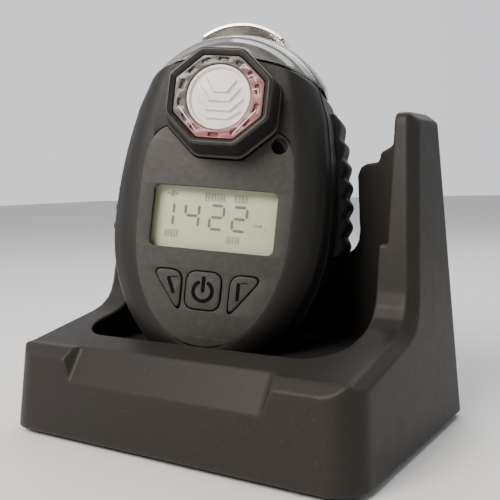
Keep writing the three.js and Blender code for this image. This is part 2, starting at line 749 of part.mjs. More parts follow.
// The stepped notch in the middle of the back wall, which leaves room for the belt clip.
function notchBlock() {
  const right = [
    [notch.halfWidth, 76],
    [29.4, 79],
    [31.4, 80],
    [35.6, 80.4],
    [36.6, 83.4],
    [40.6, 85.4],
    [41.6, 91],
    [41.6, dock.armTop + 9],
  ];
  const shape = new THREE.Shape();
  shape.moveTo(-notch.halfWidth + notch.corner, notch.bottom);
  shape.lineTo(notch.halfWidth - notch.corner, notch.bottom);
  shape.quadraticCurveTo(notch.halfWidth, notch.bottom, notch.halfWidth, notch.bottom + notch.corner);
  right.forEach(([x, z]) => shape.lineTo(x, z));
  right.slice().reverse().forEach(([x, z]) => shape.lineTo(-x, z));
  shape.lineTo(-notch.halfWidth, notch.bottom + notch.corner);
  shape.quadraticCurveTo(-notch.halfWidth, notch.bottom, -notch.halfWidth + notch.corner, notch.bottom);
  return slabBack(shape, 58, dock.depth + 9);
}

// The sloping finger recess across the front edge.
function scoopBlock() {
  const back = dock.rimStart;
  const low = dock.frontLean * scoop.bottom;
  const ring = (spread) => {
    const half = scoop.halfWidth + spread;
    return [
      new THREE.Vector3(-half, low, scoop.bottom),
      new THREE.Vector3(half, low, scoop.bottom),
      new THREE.Vector3(half, back, scoop.top + 0.01),
      new THREE.Vector3(-half, back, scoop.top + 0.01),
    ];
  };
  const outward = new THREE.Vector3(0, -1, 0.66).multiplyScalar(scoop.deep * 3);
  const mouth = ring(scoop.endSlope * 2).map((point) => point.clone().add(outward));
  return loft([ring(0), mouth], (point) => new THREE.Vector2(point.x, point.z));
}

// The bevel along the rim's front edge.
function frontBevel() {
  const low = new THREE.Vector2(dock.frontLean * (dock.rimFront - dock.chamfer), dock.rimFront - dock.chamfer);
  const high = new THREE.Vector2(dock.frontLean * dock.rimFront + dock.chamfer, dock.rimFront);
  const run = high.clone().sub(low);
  const start = low.clone().addScaledVector(run, -3);
  const end = high.clone().addScaledVector(run, 2);
  const shape = new THREE.Shape([start, end, new THREE.Vector2(end.x, 60), new THREE.Vector2(start.x, 60)]);
  return slabSide(shape, -80, 80);
}

const screwPlaces = [-1, 1].flatMap((side) => [
  [side * (dock.halfWidth - boss.inset), 24],
  [side * (dock.halfWidth - boss.inset), dock.depth - 22],
]);
const footPlaces = [-1, 1].flatMap((side) => [
  [side * (dock.halfWidth - base.footInset), base.footInset],
  [side * (dock.halfWidth - base.footInset), dock.depth - base.footInset],
]);

// The openings through the pocket floor and the seat for the two charging pins.
function pinHoles() {
  return [-1, 1].map((side) => inDock(bar('z', 2.4, -70, -44, side * contact.x, contact.y, 12)));
}

function dockShell() {
  const outside = dockBlock(0, dock.armTop + 5, 0).intersect(profileBlock());
  const underside = dock.floor - dock.floorThick;
  const inside = dockBlock(-over, dock.hollowTop, dock.wall);
  const hollow = cut(inside, pocketBlock(dock.wall, underside));
  const posts = screwPlaces.map(([x, y]) => bar('z', boss.radius, base.thick + gap, dock.hollowTop + over, x, y, 12));
  const bores = screwPlaces.map(([x, y]) => bar('z', boss.pilot, -over, boss.top, x, y, 8));
  const plug = block(
    -inlet.width / 2 - gap,
    inlet.width / 2 + gap,
    dock.depth - dock.wall - 2,
    dock.depth + over,
    inlet.z - inlet.height / 2 - gap,
    inlet.z + inlet.height / 2 + gap,
  );
  const shell = cut(outside, pocketBlock(0, dock.floor), notchBlock(), scoopBlock(), frontBevel(), hollow);
  return cut(join(shell, ...posts), ...bores, plug, ...pinHoles());
}

function dockBase() {
  const plate = dockBlock(0, base.thick, dock.wall + gap);
  const feet = footPlaces.map(([x, y]) => bar('z', base.footRadius + gap, -over, base.footSink, x, y));
  const heads = screwPlaces.map(([x, y]) => bar('z', boss.screwHead + gap, -over, 1.3, x, y, 12));
  const holes = screwPlaces.map(([x, y]) => bar('z', boss.screwShank + gap, -over, base.thick + over, x, y, 8));
  return cut(plate, ...feet, ...heads, ...holes);
}

function dockFoot([x, y]) {
  const points = [
    [0, -base.footHeight],
    [base.footRadius - 0.8, -base.footHeight],
    [base.footRadius, -base.footHeight + 0.8],
    [base.footRadius, base.footSink - gap],
    [0, base.footSink - gap],
  ].map(([radius, z]) => new THREE.Vector2(radius, z));
  return solid(new THREE.LatheGeometry(points, 16).rotateX(Math.PI / 2).translate(x, y, 0));
}

function dockScrew([x, y]) {
  const head = bar('z', boss.screwHead, -0.4, 1, x, y, 12);
  const shank = bar('z', boss.screwShank, 0.8, 14, x, y, 8);
  return join(head, shank);
}

function dockBoard() {
  return block(-32, 32, 32, 72, 3, 4.6);
}

function powerInlet() {
  const front = dock.depth - inlet.length;
  const [w, h] = [inlet.width / 2, inlet.height / 2];
  const shell = block(-w, w, front, dock.depth - 0.9, inlet.z - h, inlet.z + h);
  const mouth = block(-w + 0.5, w - 0.5, front + 2, dock.depth + over, inlet.z - h + 0.5, inlet.z + h - 0.5);
  const tongue = block(-w + 2, w - 2, front + 1.5, dock.depth - 2, inlet.z - 0.35, inlet.z + 0.35);
  return join(cut(shell, mouth), tongue);
}

// The moulded tray in the pocket that the detector's round end drops into.
function cradleSeat() {
  const fill = pocketBlock(-gap, dock.floor + gap).intersect(block(-80, 80, 0, 90, dock.floor + gap, seat.top));
  const hollow = inDock(egg(-seat.clearance, -seat.clearance, body.thickness + seat.clearance));
  const clipRoom = inDock(block(clip.x - 15, clip.x + 15, 30, 44, -40, 20));
  return cut(fill, hollow, clipRoom, ...pinHoles());
}

// ---------------------------------------------------------------- materials

const materials = {
  rubber: { color: 0x3a3936, roughness: 0.75, metalness: 0 },
  panel: { color: 0x5a5751, roughness: 0.6, metalness: 0 },
  cap: { color: 0x2b2a29, roughness: 0.4, metalness: 0 },
  clearTint: { color: 0xc9979a, roughness: 0.25, metalness: 0 },
  clearLens: { color: 0xe6dbd9, roughness: 0.2, metalness: 0 },
  dome: { color: 0xb9b6b4, roughness: 0.2, metalness: 0 },
  display: { color: 0xb9c1ae, roughness: 0.3, metalness: 0 },
  window: { color: 0xe9ebe6, roughness: 0.1, metalness: 0 },
  keys: { color: 0x55534f, roughness: 0.55, metalness: 0 },
  filter: { color: 0xf1efea, roughness: 0.9, metalness: 0 },
  seal: { color: 0x1b1b1b, roughness: 0.8, metalness: 0 },
  steel: { color: 0xb8b4aa, roughness: 0.3, metalness: 1 },
  darkSteel: { color: 0x4c4b49, roughness: 0.45, metalness: 1 },
  gold: { color: 0xc9a45c, roughness: 0.3, metalness: 1 },
  board: { color: 0x1f4d35, roughness: 0.5, metalness: 0 },
  battery: { color: 0x2f4f80, roughness: 0.5, metalness: 0 },
  dock: { color: 0x353431, roughness: 0.55, metalness: 0 },
};

function mesh(name, shape, material) {
  const settings = materials[material];
  const made = new THREE.Mesh(geometryOf(shape), new THREE.MeshStandardMaterial(settings));
  made.name = name;
  return made;
}

// ---------------------------------------------------------------- assembly

function detectorGroup() {
  const group = new THREE.Group();
  group.position.set(0, stance.y, stance.z);
  group.rotation.set(-stance.tiltBack, stance.lean, stance.turn, 'ZXY');
  group.add(
    mesh('front_housing', frontHousing(), 'rubber'),
    mesh('rear_housing', rearHousing(), 'rubber'),
    mesh('housing_seal', housingSeal(), 'seal'),
    mesh('side_grip_left', sideGrip(-1), 'rubber'),
    mesh('side_grip_right', sideGrip(1), 'rubber'),
    mesh('front_panel', frontPanel(), 'panel'),
    mesh('display_window', displayWindow(), 'window'),
    mesh('display_module', displayModule(), 'display'),
    mesh('power_button', keyCap(powerOutline(0)), 'keys'),
    mesh('left_button', keyCap(sideKeyOutline(-1, 0)), 'keys'),
    mesh('right_button', keyCap(sideKeyOutline(1, 0)), 'keys'),
    mesh('keypad', keypad(), 'seal'),
    mesh('main_board', mainBoard(), 'board'),
    mesh('battery', battery(), 'battery'),
    mesh('vibration_motor', vibrationMotor(), 'steel'),
    mesh('sensor_cap', sensorCap(), 'cap'),
    mesh('sensor_frame', sensorFrame(), 'clearTint'),
    mesh('sensor_lens', sensorLens(), 'clearLens'),
    mesh('gas_filter', gasFilter(), 'filter'),
    mesh('sensor_gasket', sensorGasket(), 'seal'),
    mesh('sensor_cell', sensorCell(), 'filter'),
    mesh('sensor_board', sensorBoard(), 'board'),
    mesh('buzzer', buzzerCan(), 'seal'),
    mesh('buzzer_mesh', buzzerMesh(), 'darkSteel'),
    mesh('alarm_dome', alarmDome(), 'dome'),
    mesh('alarm_light_board', alarmLightBoard(), 'board'),
    mesh('clip_bracket', clipBracket().translate([clip.x, 0, 0]), 'darkSteel'),
    mesh('clip_pin', clipPin().translate([clip.x, 0, 0]), 'steel'),
    mesh('clip_spring', clipSpring().translate([clip.x, 0, 0]), 'steel'),
    mesh('belt_clip', beltClip().translate([clip.x, 0, 0]), 'steel'),
  );
  rearScrews.forEach((place, i) => group.add(mesh(`rear_screw_${i + 1}`, rearScrew(place), 'darkSteel')));
  [['left', -1], ['right', 1]].forEach(([name, side]) => {
    group.add(
      mesh(`charge_contact_${name}`, chargeContact(side), 'gold'),
      mesh(`charge_pin_${name}`, chargePin(side), 'gold'),
      mesh(`pin_barrel_${name}`, pinBarrel(side), 'gold'),
    );
  });
  return group;
}

function dockGroup() {
  const group = new THREE.Group();
  group.add(
    mesh('dock_shell', dockShell(), 'dock'),
    mesh('dock_base', dockBase(), 'dock'),
    mesh('dock_board', dockBoard(), 'board'),
    mesh('power_inlet', powerInlet(), 'steel'),
    mesh('cradle_seat', cradleSeat(), 'seal'),
  );
  footPlaces.forEach((place, i) => group.add(mesh(`dock_foot_${i + 1}`, dockFoot(place), 'seal')));
  screwPlaces.forEach((place, i) => group.add(mesh(`dock_screw_${i + 1}`, dockScrew(place), 'darkSteel')));
  return group;
}

// The dock frame is shifted so that the feet stand on z = 0 and the origin is under the whole unit's middle.
const unit = new THREE.Group();
unit.position.set(0, -(dock.depth + clipOverhang) / 2, base.footHeight);
unit.add(dockGroup(), detectorGroup());

const model = new THREE.Group();
model.add(unit);

export default model;
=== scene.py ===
"""Looks of a portable gas detector standing in its charging dock.

Two frames in millimetres are used while a shape is made, and every mesh ends in metres in the CAD world:
  dock frame      x right, y back, z up, from the middle of the dock's front bottom edge
  detector frame  x right, y back (the depth), z up, from the middle of the display
"""
from math import asin, atan2, cos, degrees, exp, pi, radians, sin, sqrt
from operator import mul
from types import SimpleNamespace as Sizes

import bmesh
import bpy
from mathutils import Matrix, Vector


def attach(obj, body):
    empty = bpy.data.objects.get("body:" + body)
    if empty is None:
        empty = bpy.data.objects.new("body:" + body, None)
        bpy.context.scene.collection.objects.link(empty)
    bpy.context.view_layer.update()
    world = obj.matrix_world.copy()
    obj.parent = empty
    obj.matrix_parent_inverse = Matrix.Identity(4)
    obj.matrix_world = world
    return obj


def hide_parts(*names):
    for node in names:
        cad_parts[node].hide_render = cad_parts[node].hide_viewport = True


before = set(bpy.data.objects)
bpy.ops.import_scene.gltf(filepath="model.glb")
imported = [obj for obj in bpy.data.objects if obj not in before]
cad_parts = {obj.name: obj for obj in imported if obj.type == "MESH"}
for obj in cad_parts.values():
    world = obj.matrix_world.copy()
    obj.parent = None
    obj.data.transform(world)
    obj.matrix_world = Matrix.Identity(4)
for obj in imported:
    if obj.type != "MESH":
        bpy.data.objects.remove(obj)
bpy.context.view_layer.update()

# ---- driving dimensions, millimetres

MM = 0.001
TAU = 2 * pi
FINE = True
AROUND = 480 if FINE else 240  # columns round the body
ROW_STEP = 0.55 if FINE else 1.1  # how far apart the rows stand where the body's side turns

UNIT_SHIFT = Vector((0, -42.259, 1.5))
STANCE = Sizes(y=31.4, z=64.2, turn=21.5, tilt_back=8.4, lean=5.9)

BODY = Sizes(
    half_width=35.4, flare=2.2, flare_start=14.0, flare_end=26.0, thickness=34.0, wall=2.4,
    centre=-2.0, lower_reach=45.5, upper_reach=73.0, head_radius=64.0, head_centre=-13.7,
    front_round=14.0, rear_round=8.0,
)
FRONT_TUCK = (12.5, 8.5, 1.0)  # how far the rounded edge draws in at the side, the bottom and the top
REAR_TUCK = (6.0, 6.0, 4.0)
SPLIT = 9.5
SEAL = 1.2
GRIP = Sizes(
    front=18.0, back=28.8, bottom=-8.0, top=37.0, gap=0.3, proud=2.2, sunk=0.4, root=0.9,
    bump=1.3, pitch=6.0, first_bar=2.6, end_slope=1.2,
)
PANEL = Sizes(half_width=23.9, lower=36.5, upper=30.8, thick=1.2, gap=0.3, seat=1.5, seat_back=3.0, ledge=2.0)
DISPLAY = Sizes(half_width=19.4, half_height=9.5, corner=2.2, depth=3.3)
POWER_KEY = Sizes(x=-0.6, z=-21.8, half_width=5.4, half_height=5.7, corner=3.4, gap=0.35)
SIDE_KEY = Sizes(inner=7.6, outer=17.2, top=-16.3, bottom=-29.0, corner=3.7)
KEY = Sizes(proud=0.5, tail=3.8, edge=0.45, engraved=0.3, bold=1.2, fine=0.35)
POWER_SIGN = Sizes(radius=2.95, drop=0.2, open_degrees=66, stem=4.0)
# A bold and a fine stroke on each side key, as (x from the key's inner edge, z) of both ends.
SIDE_SIGNS = {
    -1: ([(-4.0, -19.0), (-2.2, -23.0)], [(-3.4, -18.4), (-1.4, -18.4)]),
    1: ([(2.6, -19.0), (2.6, -23.4)], [(3.4, -18.4), (5.2, -18.4)]),
}
CAP = Sizes(z=35.4, stretch=1.098, rim=14.5, foot=15.9, foot_drop=1.0, opening=12.5, throat=13.4, reach=9.3)
BUZZER = Sizes(x=18.2, z=23.5, hole=2.5)
DOME = Sizes(radius=33.6, centre=28.4, half_width=28.4, front=1.5, back=29.5, wall=1.8, floor=2.2)
# The dome's side view, as (depth from its front, how far its arc drops).
DOME_PROFILE = [
    (0, 8.2), (0.5, 7.2), (4.0, 4.6), (4.5, 4.0), (7.5, 2.7), (9.2, 1.9), (9.6, 1.5), (12.5, 0.6),
    (17.0, 0.0), (20.5, 0.15), (23.0, 0.7), (25.5, 2.2), (27.2, 4.2), (28.0, 5.6),
]
CLIP = Sizes(
    x=-3.6, pad_radius=23.0, pad_centre=47.6, neck=13.0, tip=-7.0, face=39.2, thick=1.2, lip_front=27.5,
    lip_thin=0.25, bend=2.2, pin_y=36.9, pin_z=28.0, waist=22, waist_end=33, lug=2.2, lug_thick=1.6,
)
CLIP_LUGS = (-5.8, 4.2)
CLIP_BEND = Sizes(length=15, inward=4.6, kick=0.9)
REAR_SCREWS = [(-19.5, 38), (19.5, 38), (-24, -14), (24, -14)]
SCREW_WELL = Sizes(radius=2.9, floor=31.4, end=36.0)
HAIR = 0.05  # a clearance too small to see
GUARD = Sizes(front=-8.1, slots_to=-7.3, floor=-7.25, back=-6.1, slot_width=1.25, line=0.28)
# The slots round the sensor, as (direction in degrees, length, distance from the middle).
GUARD_SLOTS = [
    (87, 3.1, 11.25), (114, 2.7, 11.5), (61, 2.7, 11.5), (139, 2.3, 11.6), (164, 3.0, 11.8),
    (37, 2.3, 11.6), (14, 2.9, 11.8), (191, 2.7, 11.8), (214, 2.5, 11.6), (236, 2.5, 11.5),
    (346, 2.9, 11.8), (322, 2.5, 11.6), (300, 2.5, 11.5), (268, 3.1, 11.25),
]
LENS = Sizes(radius=9.7, front=-7.9, back=-5.6, sink=0.9, ridge=0.7)
# The lens's nested tray-shaped ridges, as (foot's height, half width, ends' height).
LENS_RIDGES = [(3.1, 4.4, 3.6), (0.4, 5.9, 2.6), (-2.4, 7.0, 1.0), (-4.8, 6.4, -1.4)]
RELIEF = Sizes(
    grip_recess=1.2, soft=0.5, swell=0.5, swell_at=34.0, swell_half=4.0,
    ridge=0.3, ridge_depth=5.6, ridge_slope=0.03, ridge_half=0.9,
)
DIGITS = Sizes(width=4.3, height=7.3, middle=0.8, stroke=0.86, corner_gap=0.3)
READING = [("1", -12.6), ("4", -4.5), ("2", 3.4), ("2", 10.6)]  # each digit with its right edge
MARK = Sizes(shift=-0.86, thick=0.08, frame=0.25, inset=0.4, gap=0.18, bar=0.62)
# Small flags of plain bars, as (left, right, bottom, top, bars), and dots, as (left, bottom, width, height).
FLAGS = [
    (-3.1, 3.5, 5.7, 8.1, 7), (6.2, 10.6, 5.9, 8.0, 4), (-15.0, -10.4, -6.2, -4.0, 5),
    (4.8, 9.2, -6.8, -4.7, 5),
]
DOTS = [
    (-15.0, 6.9, 0.9, 0.6), (-13.9, 6.3, 1.2, 1.7), (-12.5, 6.8, 0.7, 0.7), (13.0, -1.2, 0.5, 0.9),
    (13.8, -1.2, 0.5, 0.9), (14.6, -1.2, 1.0, 0.9), (16.6, -2.0, 0.35, 0.35),
]

# Where the camera stands and looks, in the CAD world.
CAMERA = Sizes(
    spot=(129.569, -190.468, 75.938), aim=(14.114, -12.259, 56.811), lens=52.7, sensor=36.0, roll=-1.6,
)

# ---- placing


def detector_matrix():
    turn = Matrix.Rotation(radians(STANCE.turn), 4, "Z")
    tilt = Matrix.Rotation(-radians(STANCE.tilt_back), 4, "X")
    lean = Matrix.Rotation(radians(STANCE.lean), 4, "Y")
    spot = Matrix.Translation(UNIT_SHIFT + Vector((0, STANCE.y, STANCE.z)))
    return Matrix.Scale(MM, 4) @ spot @ turn @ tilt @ lean


DETECTOR = detector_matrix()


def placed(name, data):
    """A new object in the scene."""
    made = bpy.data.objects.new(name, data)
    bpy.context.scene.collection.objects.link(made)
    return made


def finish_piece(name, mesh, stands_for, material, body="detector", sharp_above=35):
    """Gives a finished mesh its object, shading, material and body, and hides the CAD parts it stands for."""
    piece = placed(name, mesh)
    mesh.materials.clear()
    mesh.materials.append(material)
    mesh.shade_smooth()
    mesh.set_sharp_from_angle(angle=radians(sharp_above))
    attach(piece, body)
    if stands_for:
        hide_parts(*stands_for)


def mesh_from(name, points, faces):
    mesh = bpy.data.meshes.new(name)
    mesh.from_pydata([DETECTOR @ Vector(p) for p in points], [], faces)
    tidy_mesh(mesh)
    return mesh


def tidy_mesh(mesh, merge=0.00001):
    """Joins doubled points and turns every face outwards."""
    work = bmesh.new()
    work.from_mesh(mesh)
    bmesh.ops.remove_doubles(work, verts=work.verts, dist=merge)
    bmesh.ops.dissolve_degenerate(work, edges=work.edges, dist=merge / 10)
    bmesh.ops.recalc_face_normals(work, faces=work.faces)
    work.to_mesh(mesh)
    work.free()


def with_modifiers(mesh, *settings):
    """The mesh after a stack of modifiers, given as (kind, options)."""
    holder = placed("holder", mesh)
    for kind, options in settings:
        modifier = holder.modifiers.new(kind.lower(), kind)
        for key, value in options.items():
            setattr(modifier, key, value)
    graph = bpy.context.evaluated_depsgraph_get()
    result = bpy.data.meshes.new_from_object(holder.evaluated_get(graph))
    bpy.data.objects.remove(holder)
    return result


def cut(mesh, *cutters):
    """The mesh with other closed meshes taken out of it."""
    for cutter in cutters:
        tool = placed("tool", cutter)
        options = dict(operation="DIFFERENCE", solver="EXACT", object=tool)
        mesh = with_modifiers(mesh, ("BOOLEAN", options))
        bpy.data.objects.remove(tool)
    return mesh


def merged(name, meshes):
    """Several meshes as one."""
    work = bmesh.new()
    for mesh in meshes:
        work.from_mesh(mesh)
    whole = bpy.data.meshes.new(name)
    work.to_mesh(whole)
    work.free()
    return whole


# ---- surfaces


def skin(rows, wrap=False, centres=()):
    """Faces over closed rings of equal length; wrap joins the last ring to the first, centres closes ends."""
    count = len(rows[0])
    points = [p for row in rows for p in row]
    faces = []
    pairs = len(rows) if wrap else len(rows) - 1
    for r in range(pairs):
        a, b = r * count, ((r + 1) % len(rows)) * count
        for i in range(count):
            j = (i + 1) % count
            faces.append((a + i, a + j, b + j, b + i))
    for start, centre in zip((0, (len(rows) - 1) * count), centres):
        points.append(centre)
        top = len(points) - 1
        faces += [(start + i, start + (i + 1) % count, top) for i in range(count)]
    return points, faces


def joined(*parts):
    """Several (points, faces) lists as one."""
    points, faces = [], []
    for more_points, more_faces in parts:
        start = len(points)
        points += list(more_points)
        faces += [tuple(start + i for i in face) for face in more_faces]
    return points, faces


def plate_mesh(name, outline, depth0, depth1, edge=0.2, holes=(), steps=2):
    """A flat plate seen from the front as (x, z) outlines, between two depths, with rounded edges."""
    curve = bpy.data.curves.new(name, "CURVE")
    curve.dimensions = "2D"
    curve.fill_mode = "BOTH"
    curve.extrude = (depth1 - depth0) / 2 - edge
    curve.bevel_depth = edge
    curve.bevel_resolution = steps
    curve.offset = -edge
    for ring, turn in [(outline, 1)] + [(hole, -1) for hole in holes]:
        if area(ring) * turn < 0:
            ring = ring[::-1]
        spline = curve.splines.new("POLY")
        spline.points.add(len(ring) - 1)
        for point, (x, z) in zip(spline.points, ring):
            point.co = (x, z, 0, 1)
        spline.use_cyclic_u = True
    holder = placed(name, curve)
    graph = bpy.context.evaluated_depsgraph_get()
    mesh = bpy.data.meshes.new_from_object(holder.evaluated_get(graph))
    bpy.data.objects.remove(holder)
    middle = (depth0 + depth1) / 2
    for vertex in mesh.vertices:
        x, z, out = vertex.co
        vertex.co = DETECTOR @ Vector((x, middle - out, z))
    tidy_mesh(mesh, 0.000004)
    return mesh


def sides(ring):
    """The pairs of neighbouring points round a ring."""
    return zip(ring, ring[1:] + ring[:1])


def area(ring):
    return sum(a[0] * b[1] - b[0] * a[1] for a, b in sides(ring)) / 2


def box(x0, x1, z0, z1):
    return [(x0, z0), (x1, z0), (x1, z1), (x0, z1)]


def rounded(corners, radius, steps=6):
    """A polygon with each corner turned on an arc-like curve."""
    ring = []
    for i, corner in enumerate(corners):
        here = Vector(corner)
        before = Vector(corners[i - 1]) - here
        after = Vector(corners[(i + 1) % len(corners)]) - here
        entry = here + before.normalized() * radius
        leave = here + after.normalized() * radius
        for k in range(steps + 1):
            t = k / steps
            point = entry * (1 - t) ** 2 + here * 2 * t * (1 - t) + leave * t * t
            ring.append((point.x, point.y))
    return ring


def rectangle(x0, x1, z0, z1, radius):
    return rounded(box(x0, x1, z0, z1), radius)


def arc(x, z, radius, angles):
    return [(x + radius * cos(angle), z + radius * sin(angle)) for angle in angles]


def circle(x, z, radius, count=48):
    return arc(x, z, radius, [i * TAU / count for i in range(count)])


def bar_mesh(name, x, z, radius, depth0, depth1):
    rows = [[(px, depth, pz) for px, pz in circle(x, z, radius, 40)] for depth in (depth0, depth1)]
    return mesh_from(name, *skin(rows, centres=((x, depth0, z), (x, depth1, z))))


def octagon(reach, z=CAP.z, corner=1.2, steps=5):
    radius = reach / cos(TAU / 16)
    angles = [(i + 0.5) * TAU / 8 for i in range(8)]
    corners = [(radius * cos(angle) * CAP.stretch, z + radius * sin(angle)) for angle in angles]
    return rounded(corners, corner, steps)


def smoothstep(value, low, high):
    t = min(1.0, max(0.0, (value - low) / (high - low)))
    return t * t * (3 - 2 * t)


# ---- materials


class Shader:
    """Short calls for building one node material."""

    def __init__(self, name):
        self.material = bpy.data.materials.new(name)
        self.material.use_nodes = True
        self.tree = self.material.node_tree
        self.shader = self.tree.nodes["Principled BSDF"]
        self.coords = self.node("ShaderNodeTexCoord").outputs["Object"]

    def node(self, kind, **options):
        made = self.tree.nodes.new(kind)
        for key, value in options.items():
            setattr(made, key, value)
        return made

    def link(self, source, target):
        self.tree.links.new(source, target)

    def colour(self, source):
        self.link(source, self.shader.inputs["Base Color"])

    def roughness(self, source):
        self.link(source, self.shader.inputs["Roughness"])

    def noise(self, per_mm, detail=3.0, rough=0.6, stretch=(1, 1, 1), turn=0.0):
        mapping = self.node("ShaderNodeMapping")
        mapping.inputs["Rotation"].default_value = (0, 0, -radians(turn))
        mapping.inputs["Scale"].default_value = [per_mm / MM * s for s in stretch]
        self.link(self.coords, mapping.inputs["Vector"])
        noise = self.node("ShaderNodeTexNoise")
        noise.inputs["Scale"].default_value = 1.0
        noise.inputs["Detail"].default_value = detail
        noise.inputs["Roughness"].default_value = rough
        self.link(mapping.outputs["Vector"], noise.inputs["Vector"])
        return noise.outputs["Fac"]

    def ramp(self, value, low, high, low_at=0.3, high_at=0.7):
        """Maps a 0..1 value between two numbers or two colours."""
        ramp = self.node("ShaderNodeValToRGB")
        ramp.color_ramp.elements[0].position = low_at
        ramp.color_ramp.elements[1].position = high_at
        for element, colour in zip(ramp.color_ramp.elements, (low, high)):
            shade = (colour,) * 3 if isinstance(colour, (int, float)) else colour
            element.color = (*shade, 1)
        self.link(value, ramp.inputs["Fac"])
        return ramp.outputs["Color"]

    def mix(self, factor, first, second):
        mixer = self.node("ShaderNodeMix", data_type="RGBA")
        if isinstance(factor, float):
            mixer.inputs[0].default_value = factor
        else:
            self.link(factor, mixer.inputs[0])
        for socket, colour in ((mixer.inputs[6], first), (mixer.inputs[7], second)):
            if isinstance(colour, tuple):
                socket.default_value = (*colour, 1)
            else:
                self.link(colour, socket)
        return mixer.outputs[2]

    def edges(self):
        """1 on worn outer edges, 0 elsewhere."""
        shape = self.node("ShaderNodeNewGeometry")
        return self.ramp(shape.outputs["Pointiness"], 0.0, 1.0, 0.5, 0.56)

    def bump(self, height, strength, distance):
        node = self.node("ShaderNodeBump")
        node.inputs["Strength"].default_value = strength
        node.inputs["Distance"].default_value = distance * MM
        self.link(height, node.inputs["Height"])
        self.link(node.outputs["Normal"], self.shader.inputs["Normal"])

    def set(self, **values):
        for key, value in values.items():
            self.shader.inputs[key.replace("_", " ")].default_value = value


def scaled(colour, factor, lift=0.0):
    """A colour made lighter or darker, and never above white."""
    return tuple(min(1, channel * factor + lift) for channel in colour)


def moulded(name, base, worn, rough, grain, bump, speckle, specular):
    """Moulded plastic or rubber: a fine matte grain, faint cloudiness, pale specks and lighter worn edges."""
    s = Shader(name)
    cloud = s.ramp(s.noise(0.03, 4), scaled(base, 0.93), scaled(base, 1.07), 0.2, 0.8)
    dust = s.ramp(s.noise(2.6, 1.0, 0.4), 0.0, 1.0, 0.67, 0.8)
    dusty = s.mix(dust, cloud, scaled(base, 1 + 2.2 * speckle, 0.01 * speckle))
    wear = s.mix(s.edges(), (0.0, 0.0, 0.0), s.ramp(s.noise(0.5, 5), 0.05, 0.6))
    s.colour(s.mix(wear, dusty, worn))
    s.roughness(s.ramp(s.noise(0.2, 5), *rough, 0.2, 0.8))
    s.bump(s.noise(grain, 2.0, 0.5), bump, 0.05)
    s.set(Specular_IOR_Level=specular)
    return s.material


def metal(name, base, rough, brushed=(1, 1, 1), bump=0.08):
    """Bare metal with fine streaks and smudges."""
    s = Shader(name)
    streaks = s.noise(1.2, 5, 0.65, brushed)
    s.colour(s.ramp(streaks, scaled(base, 0.8), base))
    s.roughness(s.ramp(s.noise(0.09, 4), *rough))
    s.bump(streaks, bump, 0.03)
    s.set(Metallic=1.0)
    return s.material


def clear(name, base, rough, transmission, ior, alpha=1.0):
    """Clear moulded plastic with faint flow streaks and a slightly uneven gloss."""
    s = Shader(name)
    flow = s.noise(0.12, 4, 0.6, (1, 1, 3))
    s.colour(s.ramp(flow, scaled(base, 0.88), base))
    s.roughness(s.ramp(s.noise(0.3, 3), rough * 0.7, rough * 1.5))
    s.bump(s.noise(0.5, 2), 0.05, 0.05)
    s.set(Transmission_Weight=transmission, IOR=ior, Alpha=alpha)
    return s.material


def streaked(name, dark, pale):
    """Clear plastic seen over pale parts: long streaks of darker and paler grey that follow the dome's arch.
    """
    s = Shader(name)
    streaks = s.noise(0.045, 1.5, 0.45, (0.4, 5.5, 1.2), STANCE.turn)
    s.colour(s.ramp(streaks, dark, pale, 0.3, 0.7))
    s.roughness(s.ramp(s.noise(0.1, 3), 0.08, 0.3))
    s.bump(streaks, 0.25, 0.3)
    s.set(Transmission_Weight=0.2, IOR=1.45, Coat_Weight=0.35, Coat_Roughness=0.1)
    return s.material


def painted(name, base, rough, mottle):
    """A plain coloured surface with mild mottling: boards, labels, liquid-crystal segments."""
    s = Shader(name)
    tone = s.ramp(s.noise(0.2, 4), scaled(base, 1 - mottle), scaled(base, 1 + mottle))
    s.colour(tone)
    s.roughness(s.ramp(s.noise(0.4, 3), *rough))
    s.bump(s.noise(3.0, 2), 0.1, 0.03)
    return s.material


def smoky_with_painted_glow(name):
    """The sensor's frame: smoky clear plastic, with a red glow painted towards its lower right for light
    refracted through the clear cap.
    """
    s = Shader(name)
    place = s.node("ShaderNodeMapping")
    spot = DETECTOR @ Vector((0, -7, CAP.z))
    place.inputs["Location"].default_value = [-c for c in spot]
    s.link(s.coords, place.inputs["Vector"])
    split = s.node("ShaderNodeSeparateXYZ")
    s.link(place.outputs["Vector"], split.inputs["Vector"])
    # Painted glow: a mask rising towards the lower right carries the smoky grey over to red there.
    slope = s.node("ShaderNodeMath", operation="SUBTRACT")
    s.link(split.outputs["X"], slope.inputs[0])
    s.link(split.outputs["Z"], slope.inputs[1])
    share = s.node("ShaderNodeMath", operation="MULTIPLY_ADD")
    share.inputs[1].default_value = 1 / (22 * MM)
    share.inputs[2].default_value = 0.5
    s.link(slope.outputs[0], share.inputs[0])
    glow_mask = s.mix(0.25, share.outputs[0], s.noise(0.25, 3))
    tone = s.ramp(glow_mask, (0.17, 0.152, 0.142), (0.42, 0.18, 0.185), 0.34, 0.64)
    s.colour(tone)
    s.roughness(s.ramp(s.noise(0.3, 3), 0.12, 0.3))
    s.bump(s.noise(0.6, 2), 0.05, 0.05)
    s.set(Transmission_Weight=0.35, IOR=1.45)
    return s.material


